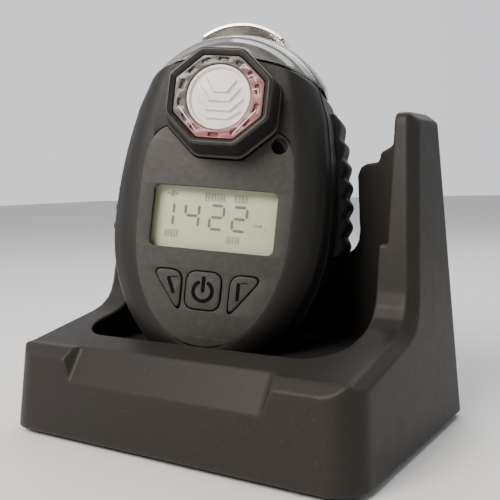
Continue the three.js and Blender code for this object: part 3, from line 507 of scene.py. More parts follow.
DOCK_PLASTIC = moulded(
    "dock_plastic", (0.0195, 0.0168, 0.0146), worn=(0.055, 0.05, 0.045),
    rough=(0.44, 0.52), grain=7.0, bump=0.3, speckle=0.7, specular=0.22,
)
RUBBER = moulded(
    "armour_rubber", (0.0125, 0.0118, 0.0108), worn=(0.038, 0.035, 0.032),
    rough=(0.46, 0.6), grain=6.0, bump=0.35, speckle=0.5, specular=0.3,
)
GRIP_RUBBER = moulded(
    "grip_rubber", (0.012, 0.0115, 0.0105), worn=(0.04, 0.037, 0.034),
    rough=(0.5, 0.64), grain=6.0, bump=0.35, speckle=0.5, specular=0.4,
)
PANEL_PLASTIC = moulded(
    "panel_plastic", (0.0265, 0.0245, 0.0212), worn=(0.09, 0.085, 0.075),
    rough=(0.5, 0.64), grain=9.0, bump=0.18, speckle=0.25, specular=0.4,
)
CAP_PLASTIC = moulded(
    "cap_plastic", (0.0175, 0.0155, 0.014), worn=(0.075, 0.068, 0.062),
    rough=(0.32, 0.42), grain=8.0, bump=0.12, speckle=0.3, specular=0.4,
)
KEY_PLASTIC = moulded(
    "key_plastic", (0.026, 0.0242, 0.0214), worn=(0.09, 0.083, 0.075),
    rough=(0.46, 0.6), grain=9.0, bump=0.15, speckle=0.2, specular=0.4,
)
SEAL_RUBBER = moulded(
    "seal_rubber", (0.008, 0.008, 0.008), worn=(0.03, 0.03, 0.03),
    rough=(0.6, 0.75), grain=5.0, bump=0.3, speckle=0.3, specular=0.35,
)
GAUZE = moulded(
    "buzzer_gauze", (0.0025, 0.0025, 0.0025), worn=(0.01, 0.01, 0.01),
    rough=(0.7, 0.85), grain=5.0, bump=0.3, speckle=0.3, specular=0.1,
)
# The sensor frame's material: smoky grey with a painted red glow at its lower right.
SENSOR_SMOKE_AND_GLOW = smoky_with_painted_glow("sensor_tint")
SENSOR_CLEAR = clear("sensor_clear", (1.0, 0.925, 0.89), rough=0.12, transmission=0.1, ior=1.45)
ALARM_CLEAR = streaked("alarm_clear", (0.10, 0.097, 0.095), (0.25, 0.24, 0.235))
WINDOW_CLEAR = clear("window_clear", (0.97, 0.98, 0.95), rough=0.05, transmission=1.0, ior=1.12, alpha=0.25)
DISPLAY_FACE = painted("display_face", (0.52, 0.56, 0.39), (0.5, 0.7), 0.04)
SEGMENT_INK = painted("segment_ink", (0.15, 0.165, 0.12), (0.5, 0.6), 0.1)
FAINT_INK = painted("faint_ink", (0.27, 0.29, 0.23), (0.5, 0.6), 0.1)
FILTER_WHITE = painted("filter_white", (0.82, 0.79, 0.74), (0.7, 0.85), 0.05)
CLIP_STEEL = metal("clip_steel", (0.92, 0.89, 0.82), (0.16, 0.28), (1, 1, 12), 0.03)
FASTENER = metal("fastener_steel", (0.25, 0.24, 0.23), (0.28, 0.42))
GOLD = metal("contact_gold", (0.80, 0.58, 0.26), (0.16, 0.28))
BOARD = painted("board_green", (0.02, 0.10, 0.05), (0.3, 0.45), 0.2)
BATTERY = painted("battery_wrap", (0.03, 0.08, 0.22), (0.3, 0.4), 0.1)

# ---- the detector's body


def egg_radius(angle, half_width, lower_reach, head_radius):
    """How far the egg reaches from its centre in a direction, the head's corner softened."""
    c, s = cos(angle), sin(angle)
    reach = BODY.upper_reach if s > 0 else lower_reach
    oval = 1 / sqrt((c / half_width) ** 2 + (s / reach) ** 2)
    drop = BODY.centre - BODY.head_centre
    side = s * drop
    inside = side * side - drop * drop + head_radius * head_radius
    head = sqrt(inside) - side
    soft = 1.6
    gap = max(soft - abs(oval - head), 0) / soft
    return min(oval, head) - gap * gap * soft / 4


def body_radius(angle, depth, inset=0.0):
    """The body's reach in a direction at a depth, with its rounded front and rear edges."""
    front = min(depth / BODY.front_round, 1)
    rear = min((BODY.thickness - depth) / BODY.rear_round, 1)
    front_in = 1 - sqrt(max(1 - (1 - front) ** 2, 0))
    rear_in = 1 - sqrt(max(1 - (1 - rear) ** 2, 0))
    side, bottom, top = [front_in * a + rear_in * b for a, b in zip(FRONT_TUCK, REAR_TUCK)]
    share = (depth - BODY.flare_start) / (BODY.flare_end - BODY.flare_start)
    flare = BODY.flare * min(max(share, 0), 1)
    half_width = BODY.half_width + flare - side - inset
    lower_reach = BODY.lower_reach - bottom - inset
    return egg_radius(angle, half_width, lower_reach, BODY.head_radius - top - inset)


def body_point(angle, radius, depth):
    return (radius * cos(angle), depth, BODY.centre + radius * sin(angle))


def surface_relief(angle, depth, radius):
    """Detail on the rubber: the grip's recess, a swell at the shoulder and a ridge near the front."""
    r, soft = RELIEF, RELIEF.soft
    z = BODY.centre + radius * sin(angle)
    sideways = abs(cos(angle))
    along = smoothstep(z, GRIP.bottom - soft, GRIP.bottom)
    along *= 1 - smoothstep(z, GRIP.top, GRIP.top + soft)
    across = smoothstep(depth, GRIP.front - soft, GRIP.front)
    across *= 1 - smoothstep(depth, GRIP.back, GRIP.back + soft)
    recess = -r.grip_recess * along * across if sideways > 0.3 else 0.0
    swell = r.swell * hill(z, r.swell_at, r.swell_half)
    swell *= smoothstep(depth, 3, 10) * smoothstep(sideways, 0.3, 0.6)
    ridge_at = r.ridge_depth + r.ridge_slope * (z - 5)
    ridge = r.ridge * hill(depth, ridge_at, r.ridge_half) * smoothstep(sideways, 0.5, 0.8)
    return recess + swell + ridge


def hill(value, at, half):
    """1 at a place, and falling off smoothly on both sides of it."""
    return exp(-(((value - at) / half) ** 2))


def directions():
    return [i * TAU / AROUND for i in range(AROUND)]


def outer_row(depth):
    row = []
    for angle in directions():
        radius = body_radius(angle, depth)
        row.append(body_point(angle, radius + surface_relief(angle, depth, radius), depth))
    return row


def inner_row(depth, inset):
    return [body_point(angle, body_radius(angle, depth, inset), depth) for angle in directions()]


def panel_radius(angle, margin):
    """The front panel's outline from the body's centre: half an ellipse below, a squarer half above."""
    c, s = abs(cos(angle)), sin(angle)
    power, reach = (5.0, PANEL.upper + margin) if s > 0 else (2.1, PANEL.lower + margin)
    half = PANEL.half_width + margin
    return ((c / half) ** power + (abs(s) / reach) ** power) ** (-1 / power)


def ring_reach(ring, angle):
    """How far a star-shaped ring reaches from the body's centre in a direction."""
    c, s = cos(angle), sin(angle)
    best = 0.0
    for (x0, z0), (x1, z1) in sides(ring):
        z0, z1 = z0 - BODY.centre, z1 - BODY.centre
        across0, across1 = x0 * s - z0 * c, x1 * s - z1 * c
        if (across0 > 0) != (across1 > 0):
            t = across0 / (across0 - across1)
            best = max(best, (x0 + (x1 - x0) * t) * c + (z0 + (z1 - z0) * t) * s)
    return best


def mouth_row(depth, margin):
    """The opening in the housing's front: the panel's seat joined with the sensor's throat."""
    throat = octagon(CAP.throat + PANEL.gap + margin)
    row = []
    for angle in directions():
        radius = max(panel_radius(angle, PANEL.gap + margin), ring_reach(throat, angle))
        row.append(body_point(angle, radius, depth))
    return row


def profile_depths(start, end, fine):
    """Depths spaced evenly along the rounded side, close together where it turns."""
    curve, flat = BODY.front_round, BODY.thickness - BODY.rear_round
    steps, flat_steps, nearest = int(curve * pi / 2 / fine), 12, 0.1
    turns = [i * pi / 2 / steps for i in range(steps + 1)]
    depths = [curve * (1 - cos(turn)) for turn in turns]
    depths += [curve + (flat - curve) * i / flat_steps for i in range(1, flat_steps)]
    depths += [flat + BODY.rear_round * sin(turn) for turn in turns]
    return [start] + [d for d in depths if start + nearest < d < end - nearest] + [end]


def front_housing():
    end = SPLIT - SEAL / 2 - HAIR
    seat, ledge = PANEL.seat, PANEL.ledge
    rows = [mouth_row(seat, -ledge), mouth_row(seat, 0.0), mouth_row(0.2, 0.0)]
    rows += [outer_row(depth) for depth in profile_depths(0.0, end, ROW_STEP)]
    rows += [inner_row(end, BODY.wall), inner_row(5.5, BODY.wall + 0.6)]
    rows += [mouth_row(PANEL.seat_back, -ledge)]
    name = "front_housing_rubber"
    mesh = mesh_from(name, *skin(rows, wrap=True))
    finish_piece(name, mesh, ["front_housing"], RUBBER, sharp_above=42)


def closed_bowl(rows, tip):
    """Faces over rings and a fan that closes the last ring at a point."""
    points, faces = skin(rows)
    points.append(tip)
    last, top = (len(rows) - 1) * AROUND, len(points) - 1
    faces += [(last + i, last + (i + 1) % AROUND, top) for i in range(AROUND)]
    return points, faces


def rear_housing():
    start, end = SPLIT + SEAL / 2 + HAIR, BODY.thickness
    rows = [outer_row(depth) for depth in profile_depths(start, end, ROW_STEP)]
    edge, inner_end, middle = rows[-1], end - BODY.wall, 12
    centre = Vector((0, end, middle))
    for share in (0.9, 0.6, 0.3):
        rows.append([tuple(centre.lerp(Vector(p), share)) for p in edge])
    outside = closed_bowl(rows, tuple(centre))
    walls = [inner_row(depth, BODY.wall) for depth in (start, 14.0, 26.0, 29.5, inner_end)]
    inside = closed_bowl(walls, (0, inner_end, middle))
    points, faces = joined(outside, inside)
    shift = len(outside[0])
    faces += [(i, (i + 1) % AROUND, shift + (i + 1) % AROUND, shift + i) for i in range(AROUND)]
    name, well = "rear_housing_rubber", SCREW_WELL
    wells = [bar_mesh("well", x, z, well.radius, well.floor, well.end) for x, z in REAR_SCREWS]
    mesh = cut(mesh_from(name, points, faces), *wells)
    finish_piece(name, mesh, ["rear_housing"], RUBBER, sharp_above=42)


def housing_seal():
    low, high = SPLIT - SEAL / 2, SPLIT + SEAL / 2
    section = ((low, 2.1), (low, 0.5), (SPLIT, 0.32), (high, 0.5), (high, 2.1))
    rows = [inner_row(depth, inset) for depth, inset in section]
    mesh = mesh_from("seal_ring", *skin(rows, wrap=True))
    finish_piece("seal_ring", mesh, ["housing_seal"], SEAL_RUBBER)


def side_surface(side, z, depth, lift):
    """The point on the body's side at a height and a depth, raised by a lift."""
    height = z - BODY.centre
    radius, rounds = 40.0, 7  # a first guess, and how often it is bettered
    for _ in range(rounds):
        angle = asin(max(-1, min(1, height / radius)))
        radius = body_radius(angle, depth)
    x, y, level = body_point(angle, radius + lift, depth)
    return (side * x, y, level)


def side_grip(name, side):
    """A strip of raised rubber bars let into the side."""
    columns, depth_steps = 190 if FINE else 100, 22
    gap, slope, sunk = GRIP.gap, GRIP.end_slope, GRIP.sunk
    low, high = GRIP.bottom + gap, GRIP.top - gap
    front, back = GRIP.front + gap, GRIP.back - gap

    def lift(z, depth):
        t = (depth - front) / (back - front)
        rim = sqrt(max(1 - (2 * t - 1) ** 6, 0))
        ends = smoothstep(z, low, low + slope) * (1 - smoothstep(z, high - slope, high))
        wave = 0.5 + 0.5 * cos((z - GRIP.first_bar) * TAU / GRIP.pitch)
        bars = GRIP.bump * wave ** 0.7 * rim
        return (GRIP.proud * (0.35 + 0.65 * rim) - sunk + bars) * ends - sunk * (1 - ends)

    turns = [cos(k * pi / depth_steps) for k in range(depth_steps + 1)]
    depths = [front + (back - front) * (1 - turn) / 2 for turn in turns]
    rows = []
    for i in range(columns + 1):
        z = low + (high - low) * i / columns
        outer = [side_surface(side, z, depth, lift(z, depth)) for depth in depths]
        inner = [side_surface(side, z, depth, -GRIP.root) for depth in depths]
        rows.append(outer + inner[::-1])
    points, faces = skin(rows)
    faces += end_caps(rows, depth_steps)
    node = "side_grip_left" if side < 0 else "side_grip_right"
    mesh = mesh_from(name, points, faces)
    finish_piece(name, mesh, [node], GRIP_RUBBER, sharp_above=50)


def end_caps(rows, steps):
    """Faces that close the first and last ring of a strip, from its outer side across to its inner side."""
    count = len(rows[0])
    faces = []
    for start in (0, (len(rows) - 1) * count):
        end = start + count - 1
        faces += [(start + k, start + k + 1, end - 1 - k, end - k) for k in range(steps)]
    return faces


# ---- front panel, display and keys


def panel_outline():
    ring = []
    for i in range(240):
        angle = i * TAU / 240
        x, _, z = body_point(angle, panel_radius(angle, 0), 0)
        ring.append((x, z))
    return ring


def display_outline(margin):
    w, h = DISPLAY.half_width + margin, DISPLAY.half_height + margin
    return rectangle(-w, w, -h, h, DISPLAY.corner)


def power_outline(margin):
    k = POWER_KEY
    w, h = k.half_width + margin, k.half_height + margin
    return rectangle(k.x - w, k.x + w, k.z - h, k.z + h, k.corner + margin)


def side_key_outline(side, margin):
    k = SIDE_KEY
    corners = [
        (side * (k.inner - margin), k.top + margin),
        (side * (k.inner - margin), k.bottom - 2.4 * margin),
        (side * (k.outer + 1.6 * margin), k.top + margin),
    ]
    return rounded(corners, k.corner + margin, 8)


KEY_OUTLINES = [power_outline, lambda m: side_key_outline(-1, m), lambda m: side_key_outline(1, m)]


def front_panel():
    foot = octagon(CAP.foot + PANEL.gap, CAP.z - CAP.foot_drop, 1.8)
    outline = bitten(panel_outline(), foot)
    holes = [display_outline(0)] + [outline_of(POWER_KEY.gap) for outline_of in KEY_OUTLINES]
    holes.append(circle(BUZZER.x, BUZZER.z, BUZZER.hole))
    mesh = plate_mesh("panel_plate", outline, 0.0, PANEL.thick, 0.16, holes)
    finish_piece("panel_plate", mesh, ["front_panel"], PANEL_PLASTIC)


def finely(ring, parts):
    """The same outline with every side split into equal parts."""
    fine = []
    for (x0, z0), (x1, z1) in sides(ring):
        fine += [(x0 + (x1 - x0) * t / parts, z0 + (z1 - z0) * t / parts) for t in range(parts)]
    return fine


def kept_run(points, kept):
    """The kept points of a ring in order, from where the kept stretch starts."""
    count = len(points)
    start = next(i for i in range(count) if kept[i] and not kept[i - 1])
    order = [(start + i) % count for i in range(count)]
    return [points[i] for i in order if kept[i]]


def bitten(outside, bite):
    """An outline with a second outline's area taken out where that crosses its top."""
    edge, rim = finely(outside, 4), finely(bite, 6)
    ring = kept_run(edge, [not within(p, bite) for p in edge])
    notch = kept_run(rim, [within(p, outside) for p in rim])
    last = Vector(ring[-1])
    if (Vector(notch[0]) - last).length > (Vector(notch[-1]) - last).length:
        notch.reverse()
    return ring + notch


def within(point, ring):
    x, z = point
    inside = False
    for (x0, z0), (x1, z1) in sides(ring):
        if (z0 > z) != (z1 > z) and x < x0 + (x1 - x0) * (z - z0) / (z1 - z0):
            inside = not inside
    return inside


def stroke(points, width):
    """The outline of a thick line with round ends."""
    line = [Vector(p) for p in points]
    left, right = [], []
    for i, here in enumerate(line):
        along = (line[min(i + 1, len(line) - 1)] - line[max(i - 1, 0)]).normalized()
        across = Vector((-along.y, along.x)) * width / 2
        left.append(here + across)
        right.append(here - across)
    ends = []
    for tip, side in ((line[-1], left[-1]), (line[0], right[0])):
        arm = side - tip
        cap = []
        for k in range(1, 6):
            c, s = cos(k * pi / 6), -sin(k * pi / 6)
            cap.append(tip + Vector((arm.x * c - arm.y * s, arm.x * s + arm.y * c)))
        ends.append(cap)
    ring = left + ends[0] + right[::-1] + ends[1]
    return [(p.x, p.y) for p in ring]


def power_glyph():
    """A broken ring with an upright stem in its gap."""
    sign, steps = POWER_SIGN, 28
    x, z = POWER_KEY.x, POWER_KEY.z - sign.drop
    first, shown = 90 + sign.open_degrees / 2, 360 - sign.open_degrees
    ring = arc(x, z, sign.radius, [radians(first + i * shown / steps) for i in range(steps + 1)])
    stem = [(x, z + sign.drop), (x, z + sign.stem)]
    return [stroke(ring, KEY.bold), stroke(stem, KEY.bold)]


def side_glyph(side):
    edge = side * SIDE_KEY.inner
    bold, fine = [[(edge + aside, z) for aside, z in line] for line in SIDE_SIGNS[side]]
    return [stroke(bold, KEY.bold), stroke(fine, KEY.fine)]


def key_piece(name, body, outline, glyphs):
    """A key's cap with its sign engraved, and a near-black sheet on the sign's floor that paints the shade in
    the engraving.
    """
    top = -KEY.proud
    floor = top + KEY.engraved
    mesh = plate_mesh(name, outline, top, KEY.tail, KEY.edge, steps=4)
    cutters = [plate_mesh("glyph", glyph, top - 1, floor, HAIR) for glyph in glyphs]
    mesh = cut(mesh, *cutters)
    finish_piece(name, mesh, [body], KEY_PLASTIC, body, sharp_above=30)
    # Painted shade: a near-black sheet laid on the engraving's floor darkens the recess where shade falls.
    for i, glyph in enumerate(glyphs):
        shade_sheet = plate_mesh(f"{name}_painted_shade_{i}", glyph, floor - 0.06, floor - 0.01, 0.01)
        finish_piece(f"{name}_painted_shade_{i}", shade_sheet, [], GAUZE, body)


SEGMENTS = {"1": "bc", "2": "abged", "4": "fgbc"}


def digit_strokes(character, right):
    """The lit bars of a seven-segment digit, from where its right edge stands."""
    left, z, gap = right - DIGITS.width, DIGITS.middle, DIGITS.corner_gap
    top, bottom = z + DIGITS.height / 2, z - DIGITS.height / 2
    bars = {
        "a": [(left + gap, top), (right - gap, top)],
        "b": [(right, top - gap), (right, z + gap)],
        "c": [(right, z - gap), (right, bottom + gap)],
        "d": [(left + gap, bottom), (right - gap, bottom)],
        "e": [(left, z - gap), (left, bottom + gap)],
        "f": [(left, top - gap), (left, z + gap)],
        "g": [(left + gap, z), (right - gap, z)],
    }
    return [bars[key] for key in SEGMENTS[character]]


def bar_outline(ends, width):
    """A segment: a bar with pointed ends."""
    start, end = Vector(ends[0]), Vector(ends[1])
    along = (end - start).normalized()
    across = Vector((-along.y, along.x)) * width / 2
    shoulder = along * width / 2
    ring = [start, start + shoulder + across, end - shoulder + across]
    ring += [end, end - shoulder - across, start + shoulder - across]
    return [(p.x, p.y) for p in ring]


def flat_marks(name, rings, material):
    """Several thin flat shapes as one piece on the display."""
    depth, thick = DISPLAY.depth - 0.02, MARK.thick
    parts = [plate_mesh("mark", ring, depth - thick, depth, thick / 5, steps=0) for ring in rings]
    finish_piece(name, merged(name, parts), [], material)


def flag(x0, x1, z0, z1, bars):
    """A small frame of two lines with upright bars between them."""
    step, frame_line, inset = (x1 - x0) / bars, MARK.frame, MARK.inset
    rings = [box(x0, x1, z0, z0 + frame_line), box(x0, x1, z1 - frame_line, z1)]
    for i in range(bars):
        left = x0 + step * (i + MARK.gap)
        rings.append(box(left, left + step * MARK.bar, z0 + inset, z1 - inset))
    return rings


def display_marks():
    """The reading and the small generic flags round it."""
    shift = MARK.shift
    digits, flags = [], []
    for character, right in READING:
        digits += [bar_outline(ends, DIGITS.stroke) for ends in digit_strokes(character, right + shift)]
    for x0, x1, z0, z1, bars in FLAGS:
        flags += flag(x0 + shift, x1 + shift, z0, z1, bars)
    for x, z, width, height in DOTS:
        flags.append(box(x + shift, x + width + shift, z, z + height))
    flat_marks("display_digits", digits, SEGMENT_INK)
    flat_marks("display_flags", flags, FAINT_INK)


def display_parts():
    face = plate_mesh("display_glass", rectangle(-20, 20, -11, 11, 0.6), DISPLAY.depth, 6.0, 0.12)
    finish_piece("display_glass", face, ["display_module"], DISPLAY_FACE)
    window = plate_mesh("display_cover", display_outline(0.4), 1.5, 2.5, 0.12)
    finish_piece("display_cover", window, ["display_window"], WINDOW_CLEAR)
    display_marks()


# ---- sensor, alarm dome


def cap_row(depth, reach, z, corner):
    return [(x, depth, height) for x, height in octagon(reach, z, corner, 6)]


def sensor_cap():
    """The octagonal cap: a broad foot, a scooped side, a rounded rim and an opening that goes through."""
    z, foot_z, foot, front = CAP.z, CAP.z - CAP.foot_drop, CAP.foot, -CAP.reach
    rim, opening, throat, bend = CAP.rim, CAP.opening, CAP.throat, 0.9
    section = [(-0.3, foot, foot_z, 1.7), (-1.25, foot - 0.05, foot_z, 1.7), (-1.5, foot - 0.3, foot_z, 1.7)]
    section += [(-1.6, foot - 0.65, foot_z, 1.7), (-1.9, foot - 0.7, foot_z + 0.05, 1.7)]
    section += [(front + 2.6, rim + 0.2, z, 1.6)]
    for angle in [0.0] + bends(6):
        reach = rim - 0.85 + bend * cos(angle)
        section.append((front + bend - bend * sin(angle), reach, z, 1.4))
    section += [(front + 0.03, rim - 1.0, z, 1.2), (front + 0.12, rim - 1.15, z, 1.2)]
    section += [(front + 1.05, opening + 0.12, z, 1.0), (front + 1.25, opening, z, 1.0)]
    section += [(3.0, opening, z, 1.0), (3.0, throat, z, 1.0), (-0.3, throat, z, 1.0)]
    mesh = mesh_from("cap_bezel", *skin([cap_row(*place) for place in section], wrap=True))
    finish_piece("cap_bezel", mesh, ["sensor_cap"], CAP_PLASTIC, sharp_above=30)


def slot_outline(angle, radius, length, width):
    """A rounded slot lying across a direction from the cap's centre."""
    c, s = cos(angle), sin(angle)
    ring = []
    for across, along in rectangle(-length / 2, length / 2, -width / 2, width / 2, width * 0.35):
        r = radius + along
        ring.append((r * c - across * s, CAP.z + r * s + across * c))
    return ring


def sensor_frame():
    outline = octagon(CAP.opening - 0.3, corner=0.9)
    hole = circle(0, CAP.z, LENS.radius + 0.25, 72)
    width = GUARD.slot_width
    slots = [slot_outline(radians(turn), radius, length, width) for turn, length, radius in GUARD_SLOTS]
    guard = merged("sensor_guard", [
        plate_mesh("guard_face", outline, GUARD.front, GUARD.slots_to, 0.12, [hole] + slots),
        plate_mesh("guard_floor", outline, GUARD.floor, GUARD.back, HAIR, [hole]),
    ])
    finish_piece("sensor_guard", guard, ["sensor_frame"], SENSOR_SMOKE_AND_GLOW)


def guard_painted_glints():
    """Pale raised strokes that paint the glints of light on the sensor frame's clear edges: two long lines
    below, three brackets by the right slots.
    """
    z = CAP.z
    lines = [[(side * 11.7, z - 3.4), (side * 5.6, z - 10.6)] for side in (-1, 1)]
    for angle in (radians(50), radians(30), radians(8)):
        out = Vector((cos(angle), sin(angle)))
        across = Vector((-out.y, out.x))
        corner = Vector((0, z)) + out * 12.0 + across * 1.2
        lines.append([tuple(corner - out * 1.6), tuple(corner), tuple(corner - across * 2.2)])
    front, width = GUARD.front, GUARD.line
    glint_strokes = [plate_mesh("line", stroke(line, width), front - 0.1, front + 0.1, HAIR) for line in lines]
    mesh = merged("guard_painted_glints", glint_strokes)
    # Painted highlights: the strokes take the lens's pale material so that they read as glints.
    finish_piece("guard_painted_glints", mesh, [], SENSOR_CLEAR)


def lens_row(depth, radius):
    return [(x, depth, z) for x, z in circle(0, CAP.z, radius, 72)]


def sensor_lens():
    """A clear disc with a raised rim and nested tray-shaped ridges."""
    radius, front, back, z = LENS.radius, LENS.front, LENS.back, CAP.z
    sunk = front + LENS.sink
    section = [(back, 0.0), (front + 0.25, 0.0), (front, 0.25), (front, 0.7), (front + 0.3, 0.95)]
    section += [(sunk, 1.1), (sunk, 4.0)]
    rows = [lens_row(depth, radius - inset) for depth, inset in section]
    parts = [mesh_from("disc", *skin(rows, centres=((0, back, z), (0, sunk, z))))]
    for drop, reach, top in LENS_RIDGES:
        tip, foot = z + top + drop * 0.5, z + drop - 1.2
        line = [(-reach, tip), (-reach * 0.5, foot), (reach * 0.5, foot), (reach, tip)]
        parts.append(plate_mesh("ridge", stroke(line, LENS.ridge), front + 0.15, front + 0.95, 0.2))
    lens = merged("lens_disc", parts)
    finish_piece("lens_disc", lens, ["sensor_lens"], SENSOR_CLEAR, sharp_above=30)


def dome_ring(depth, drop, inset, floor):
    """A slice of the dome: an outer arc over the head's own arc."""
    radius, count = DOME.radius - drop - inset, 56
    head = BODY.head_radius + 0.3 - floor
    apart = DOME.centre - BODY.head_centre
    squares = DOME.centre ** 2 - BODY.head_centre ** 2 - radius ** 2 + head ** 2
    meeting_z = squares / (2 * apart)
    meeting_x = sqrt(radius ** 2 - (meeting_z - DOME.centre) ** 2)
    half = min(DOME.half_width - inset, 0.98 * meeting_x)
    outer, floor_angle = asin(half / radius), asin(half / head)
    ring = []
    for i in range(count + 1):
        angle = outer * (1 - 2 * i / count)
        ring.append((radius * sin(angle), depth, DOME.centre + radius * cos(angle)))
    for i in range(count + 1):
        angle = floor_angle * (2 * i / count - 1)
        ring.append((head * sin(angle), depth, BODY.head_centre + head * cos(angle)))
    return ring


def dome_shell(inset, floor):
    """The dome's skin as rings from front to back, made smaller all round by an inset."""
    front, back, steps = DOME.front, DOME.back, 4
    middle = (front + back) / 2
    shrink = 1 - 2 * inset / (back - front)
    profile = []
    for (depth0, drop0), (depth1, drop1) in zip(DOME_PROFILE, DOME_PROFILE[1:]):
        shares = [k / steps for k in range(steps)]
        profile += [(front + depth0 + (depth1 - depth0) * t, drop0 + (drop1 - drop0) * t) for t in shares]
    profile.append((back, DOME_PROFILE[-1][1]))
    rows = [dome_ring(middle + (depth - middle) * shrink, drop, inset, floor) for depth, drop in profile]
    points, faces = skin(rows)
    return points, faces + end_caps(rows, len(rows[0]) // 2 - 1)


def alarm_dome():
    outside = mesh_from("outside", *dome_shell(0, 0))
    hollow = mesh_from("hollow", *dome_shell(DOME.wall, DOME.floor))
    hollow.flip_normals()
    shell = merged("alarm_lens", [hollow, outside])
    finish_piece("alarm_lens", shell, ["alarm_dome"], ALARM_CLEAR, sharp_above=40)


# ---- belt clip


def clip_outline():
    """The clip seen from behind: a tongue that widens into a round thumb pad."""
    neck, tip, radius, middle = CLIP.neck, CLIP.tip, CLIP.pad_radius, CLIP.pad_centre
    waist, shoulder, steps = (neck, CLIP.waist), radians(12), 80
    start = (radius * cos(shoulder), middle - radius * sin(shoulder))
    right = [(neck - 4, tip)] + curve_points((neck - 4, tip), (neck, tip + 0.5), (neck, tip + 6), 8)
    right += [waist] + curve_points(waist, (neck, CLIP.waist_end), start, 14)
    pad = arc(0, middle, radius, [-shoulder + (pi + 2 * shoulder) * i / steps for i in range(1, steps)])
    return right + pad + [(-x, z) for x, z in reversed(right)]


def curve_points(start, bend, end, steps):
    points = []
    for i in range(1, steps + 1):
        t = i / steps
        shares = ((1 - t) ** 2, 2 * t * (1 - t), t * t)
        points.append(tuple(sum(map(mul, shares, axis)) for axis in zip(start, bend, end)))
    return points


def bend_clip(mesh):
    """Slices the plate across and bends its lower end in towards the body."""
    inverse = DETECTOR.inverted()
    work = bmesh.new()
    work.from_mesh(mesh)
    work.transform(inverse)
    length, tip = CLIP_BEND.length, CLIP.tip
    for i in range(length + 1):
        everything = work.verts[:] + work.edges[:] + work.faces[:]
        level = (0, 0, tip + i)
        bmesh.ops.bisect_plane(work, geom=everything, plane_co=level, plane_no=(0, 0, 1), dist=0.001)
    for vertex in work.verts:
        reach = max(tip + length - vertex.co.z, 0) / length
        vertex.co.y -= CLIP_BEND.inward * smoothstep(reach, 0.0, 0.86)
        vertex.co.y += CLIP_BEND.kick * smoothstep(reach, 0.84, 1.0)
    work.transform(DETECTOR)
    work.to_mesh(mesh)
    work.free()
    return mesh


def lip_section(length):
    """The lip cut across, as (distance from the pad's middle, depth) points."""
    thick, bend, outer = CLIP.thick, CLIP.bend, CLIP.pad_radius
    back, thin = CLIP.face + thick, CLIP.lip_thin
    middle, small, end = outer - bend, bend - thick, back - length
    section = [(middle, back)]
    section += [(middle + bend * sin(a), back - bend + bend * cos(a)) for a in bends(7)]
    section += [(outer, end), (outer - thin, end - 0.3)]
    section += [(outer - thick + thin, end - 0.3), (outer - thick, end)]
    section += [(middle + small * sin(a), back - bend + small * cos(a)) for a in bends(7)[::-1]]
    return section + [(middle, back - thick)]


def clip_lip():
    """The rolled lip along the pad's round end, bent forward and fading out at its ends."""
    rows, steps, full = [], 80, CLIP.face - CLIP.lip_front
    for i in range(steps + 1):
        t = i / steps
        angle = radians(33 + 114 * t)
        length = full * (0.17 + 0.83 * smoothstep(min(t, 1 - t), 0.05, 0.16))
        c, s = cos(angle), sin(angle)
        rows.append([(r * c, y, CLIP.pad_centre + r * s) for r, y in lip_section(length)])
    points, faces = skin(rows)
    count = len(rows[0])
    faces += [tuple(range(count)), tuple(range(steps * count, (steps + 1) * count))]
    return mesh_from("lip", points, faces)


def bends(steps):
    return [i * pi / 2 / steps for i in range(1, steps + 1)]


def belt_clip():
    face, pin_z, lug = CLIP.face, CLIP.pin_z, CLIP.lug
    outline = [pulled_in(x, z) for x, z in clip_outline()]
    plate = plate_mesh("plate", outline, face, face + CLIP.thick, 0.25)
    parts = [bend_clip(plate), clip_lip()]
    for x in CLIP_LUGS:
        ring = box(x, x + CLIP.lug_thick, pin_z - lug, pin_z + lug)
        parts.append(plate_mesh("lug", ring, CLIP.pin_y - 1.9, face + 0.4, 0.15))
    mesh = merged("clip_plate", parts)
    mesh.transform(Matrix.Translation(DETECTOR.to_3x3() @ Vector((CLIP.x, 0, 0))))
    finish_piece("clip_plate", mesh, ["belt_clip"], CLIP_STEEL, "belt_clip")


def pulled_in(x, z):
    """The pad's edge drawn in to where the rolled lip starts."""
    arm = Vector((x, z - CLIP.pad_centre))
    above = degrees(atan2(arm.y, abs(arm.x)))
    if above > 0:
        arm *= 1 - 2.0 * smoothstep(above, 30, 39) / CLIP.pad_radius
    return arm.x, arm.y + CLIP.pad_centre


# ---- the dock


def softened(node, name, material, voxel, rounds):
    """A CAD solid of the dock remeshed finely and relaxed, so that its edges are moulded soft."""
    size = voxel * MM if FINE else voxel * MM * 1.7
    mesh = with_modifiers(
        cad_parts[node].data.copy(),
        ("REMESH", dict(mode="VOXEL", voxel_size=size, adaptivity=0.0, use_smooth_shade=True)),
        ("SMOOTH", dict(factor=0.5, iterations=rounds)),
    )
    finish_piece(name, mesh, [node], material, "dock", sharp_above=180)


def dock_parts():
    softened("dock_shell", "dock_casing", DOCK_PLASTIC, voxel=0.45, rounds=8)
    softened("cradle_seat", "cradle_tray", SEAL_RUBBER, voxel=0.5, rounds=4)


# ---- carried-over CAD nodes

CARRIED = [
    (SEAL_RUBBER, "keypad sensor_gasket buzzer dock_foot_1 dock_foot_2 dock_foot_3 dock_foot_4"),
    (FASTENER, "clip_bracket rear_screw_1 rear_screw_2 rear_screw_3 rear_screw_4"),
    (FASTENER, "dock_screw_1 dock_screw_2 dock_screw_3 dock_screw_4"),
    (CLIP_STEEL, "vibration_motor clip_pin clip_spring power_inlet"),
    (GOLD, "charge_contact_left charge_contact_right pin_barrel_left pin_barrel_right"),
    (GOLD, "charge_pin_left charge_pin_right"),
    (BOARD, "main_board sensor_board dock_board"),
    (FILTER_WHITE, "gas_filter sensor_cell alarm_light_board"),
    (BATTERY, "battery"),
    (GAUZE, "buzzer_mesh"),
    (DOCK_PLASTIC, "dock_base"),
]


def dress_cad_nodes():
    for material, names in CARRIED:
        for name in names.split():
            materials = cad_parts[name].data.materials
            materials.clear()
            materials.append(material)


# ---- camera, light and floor


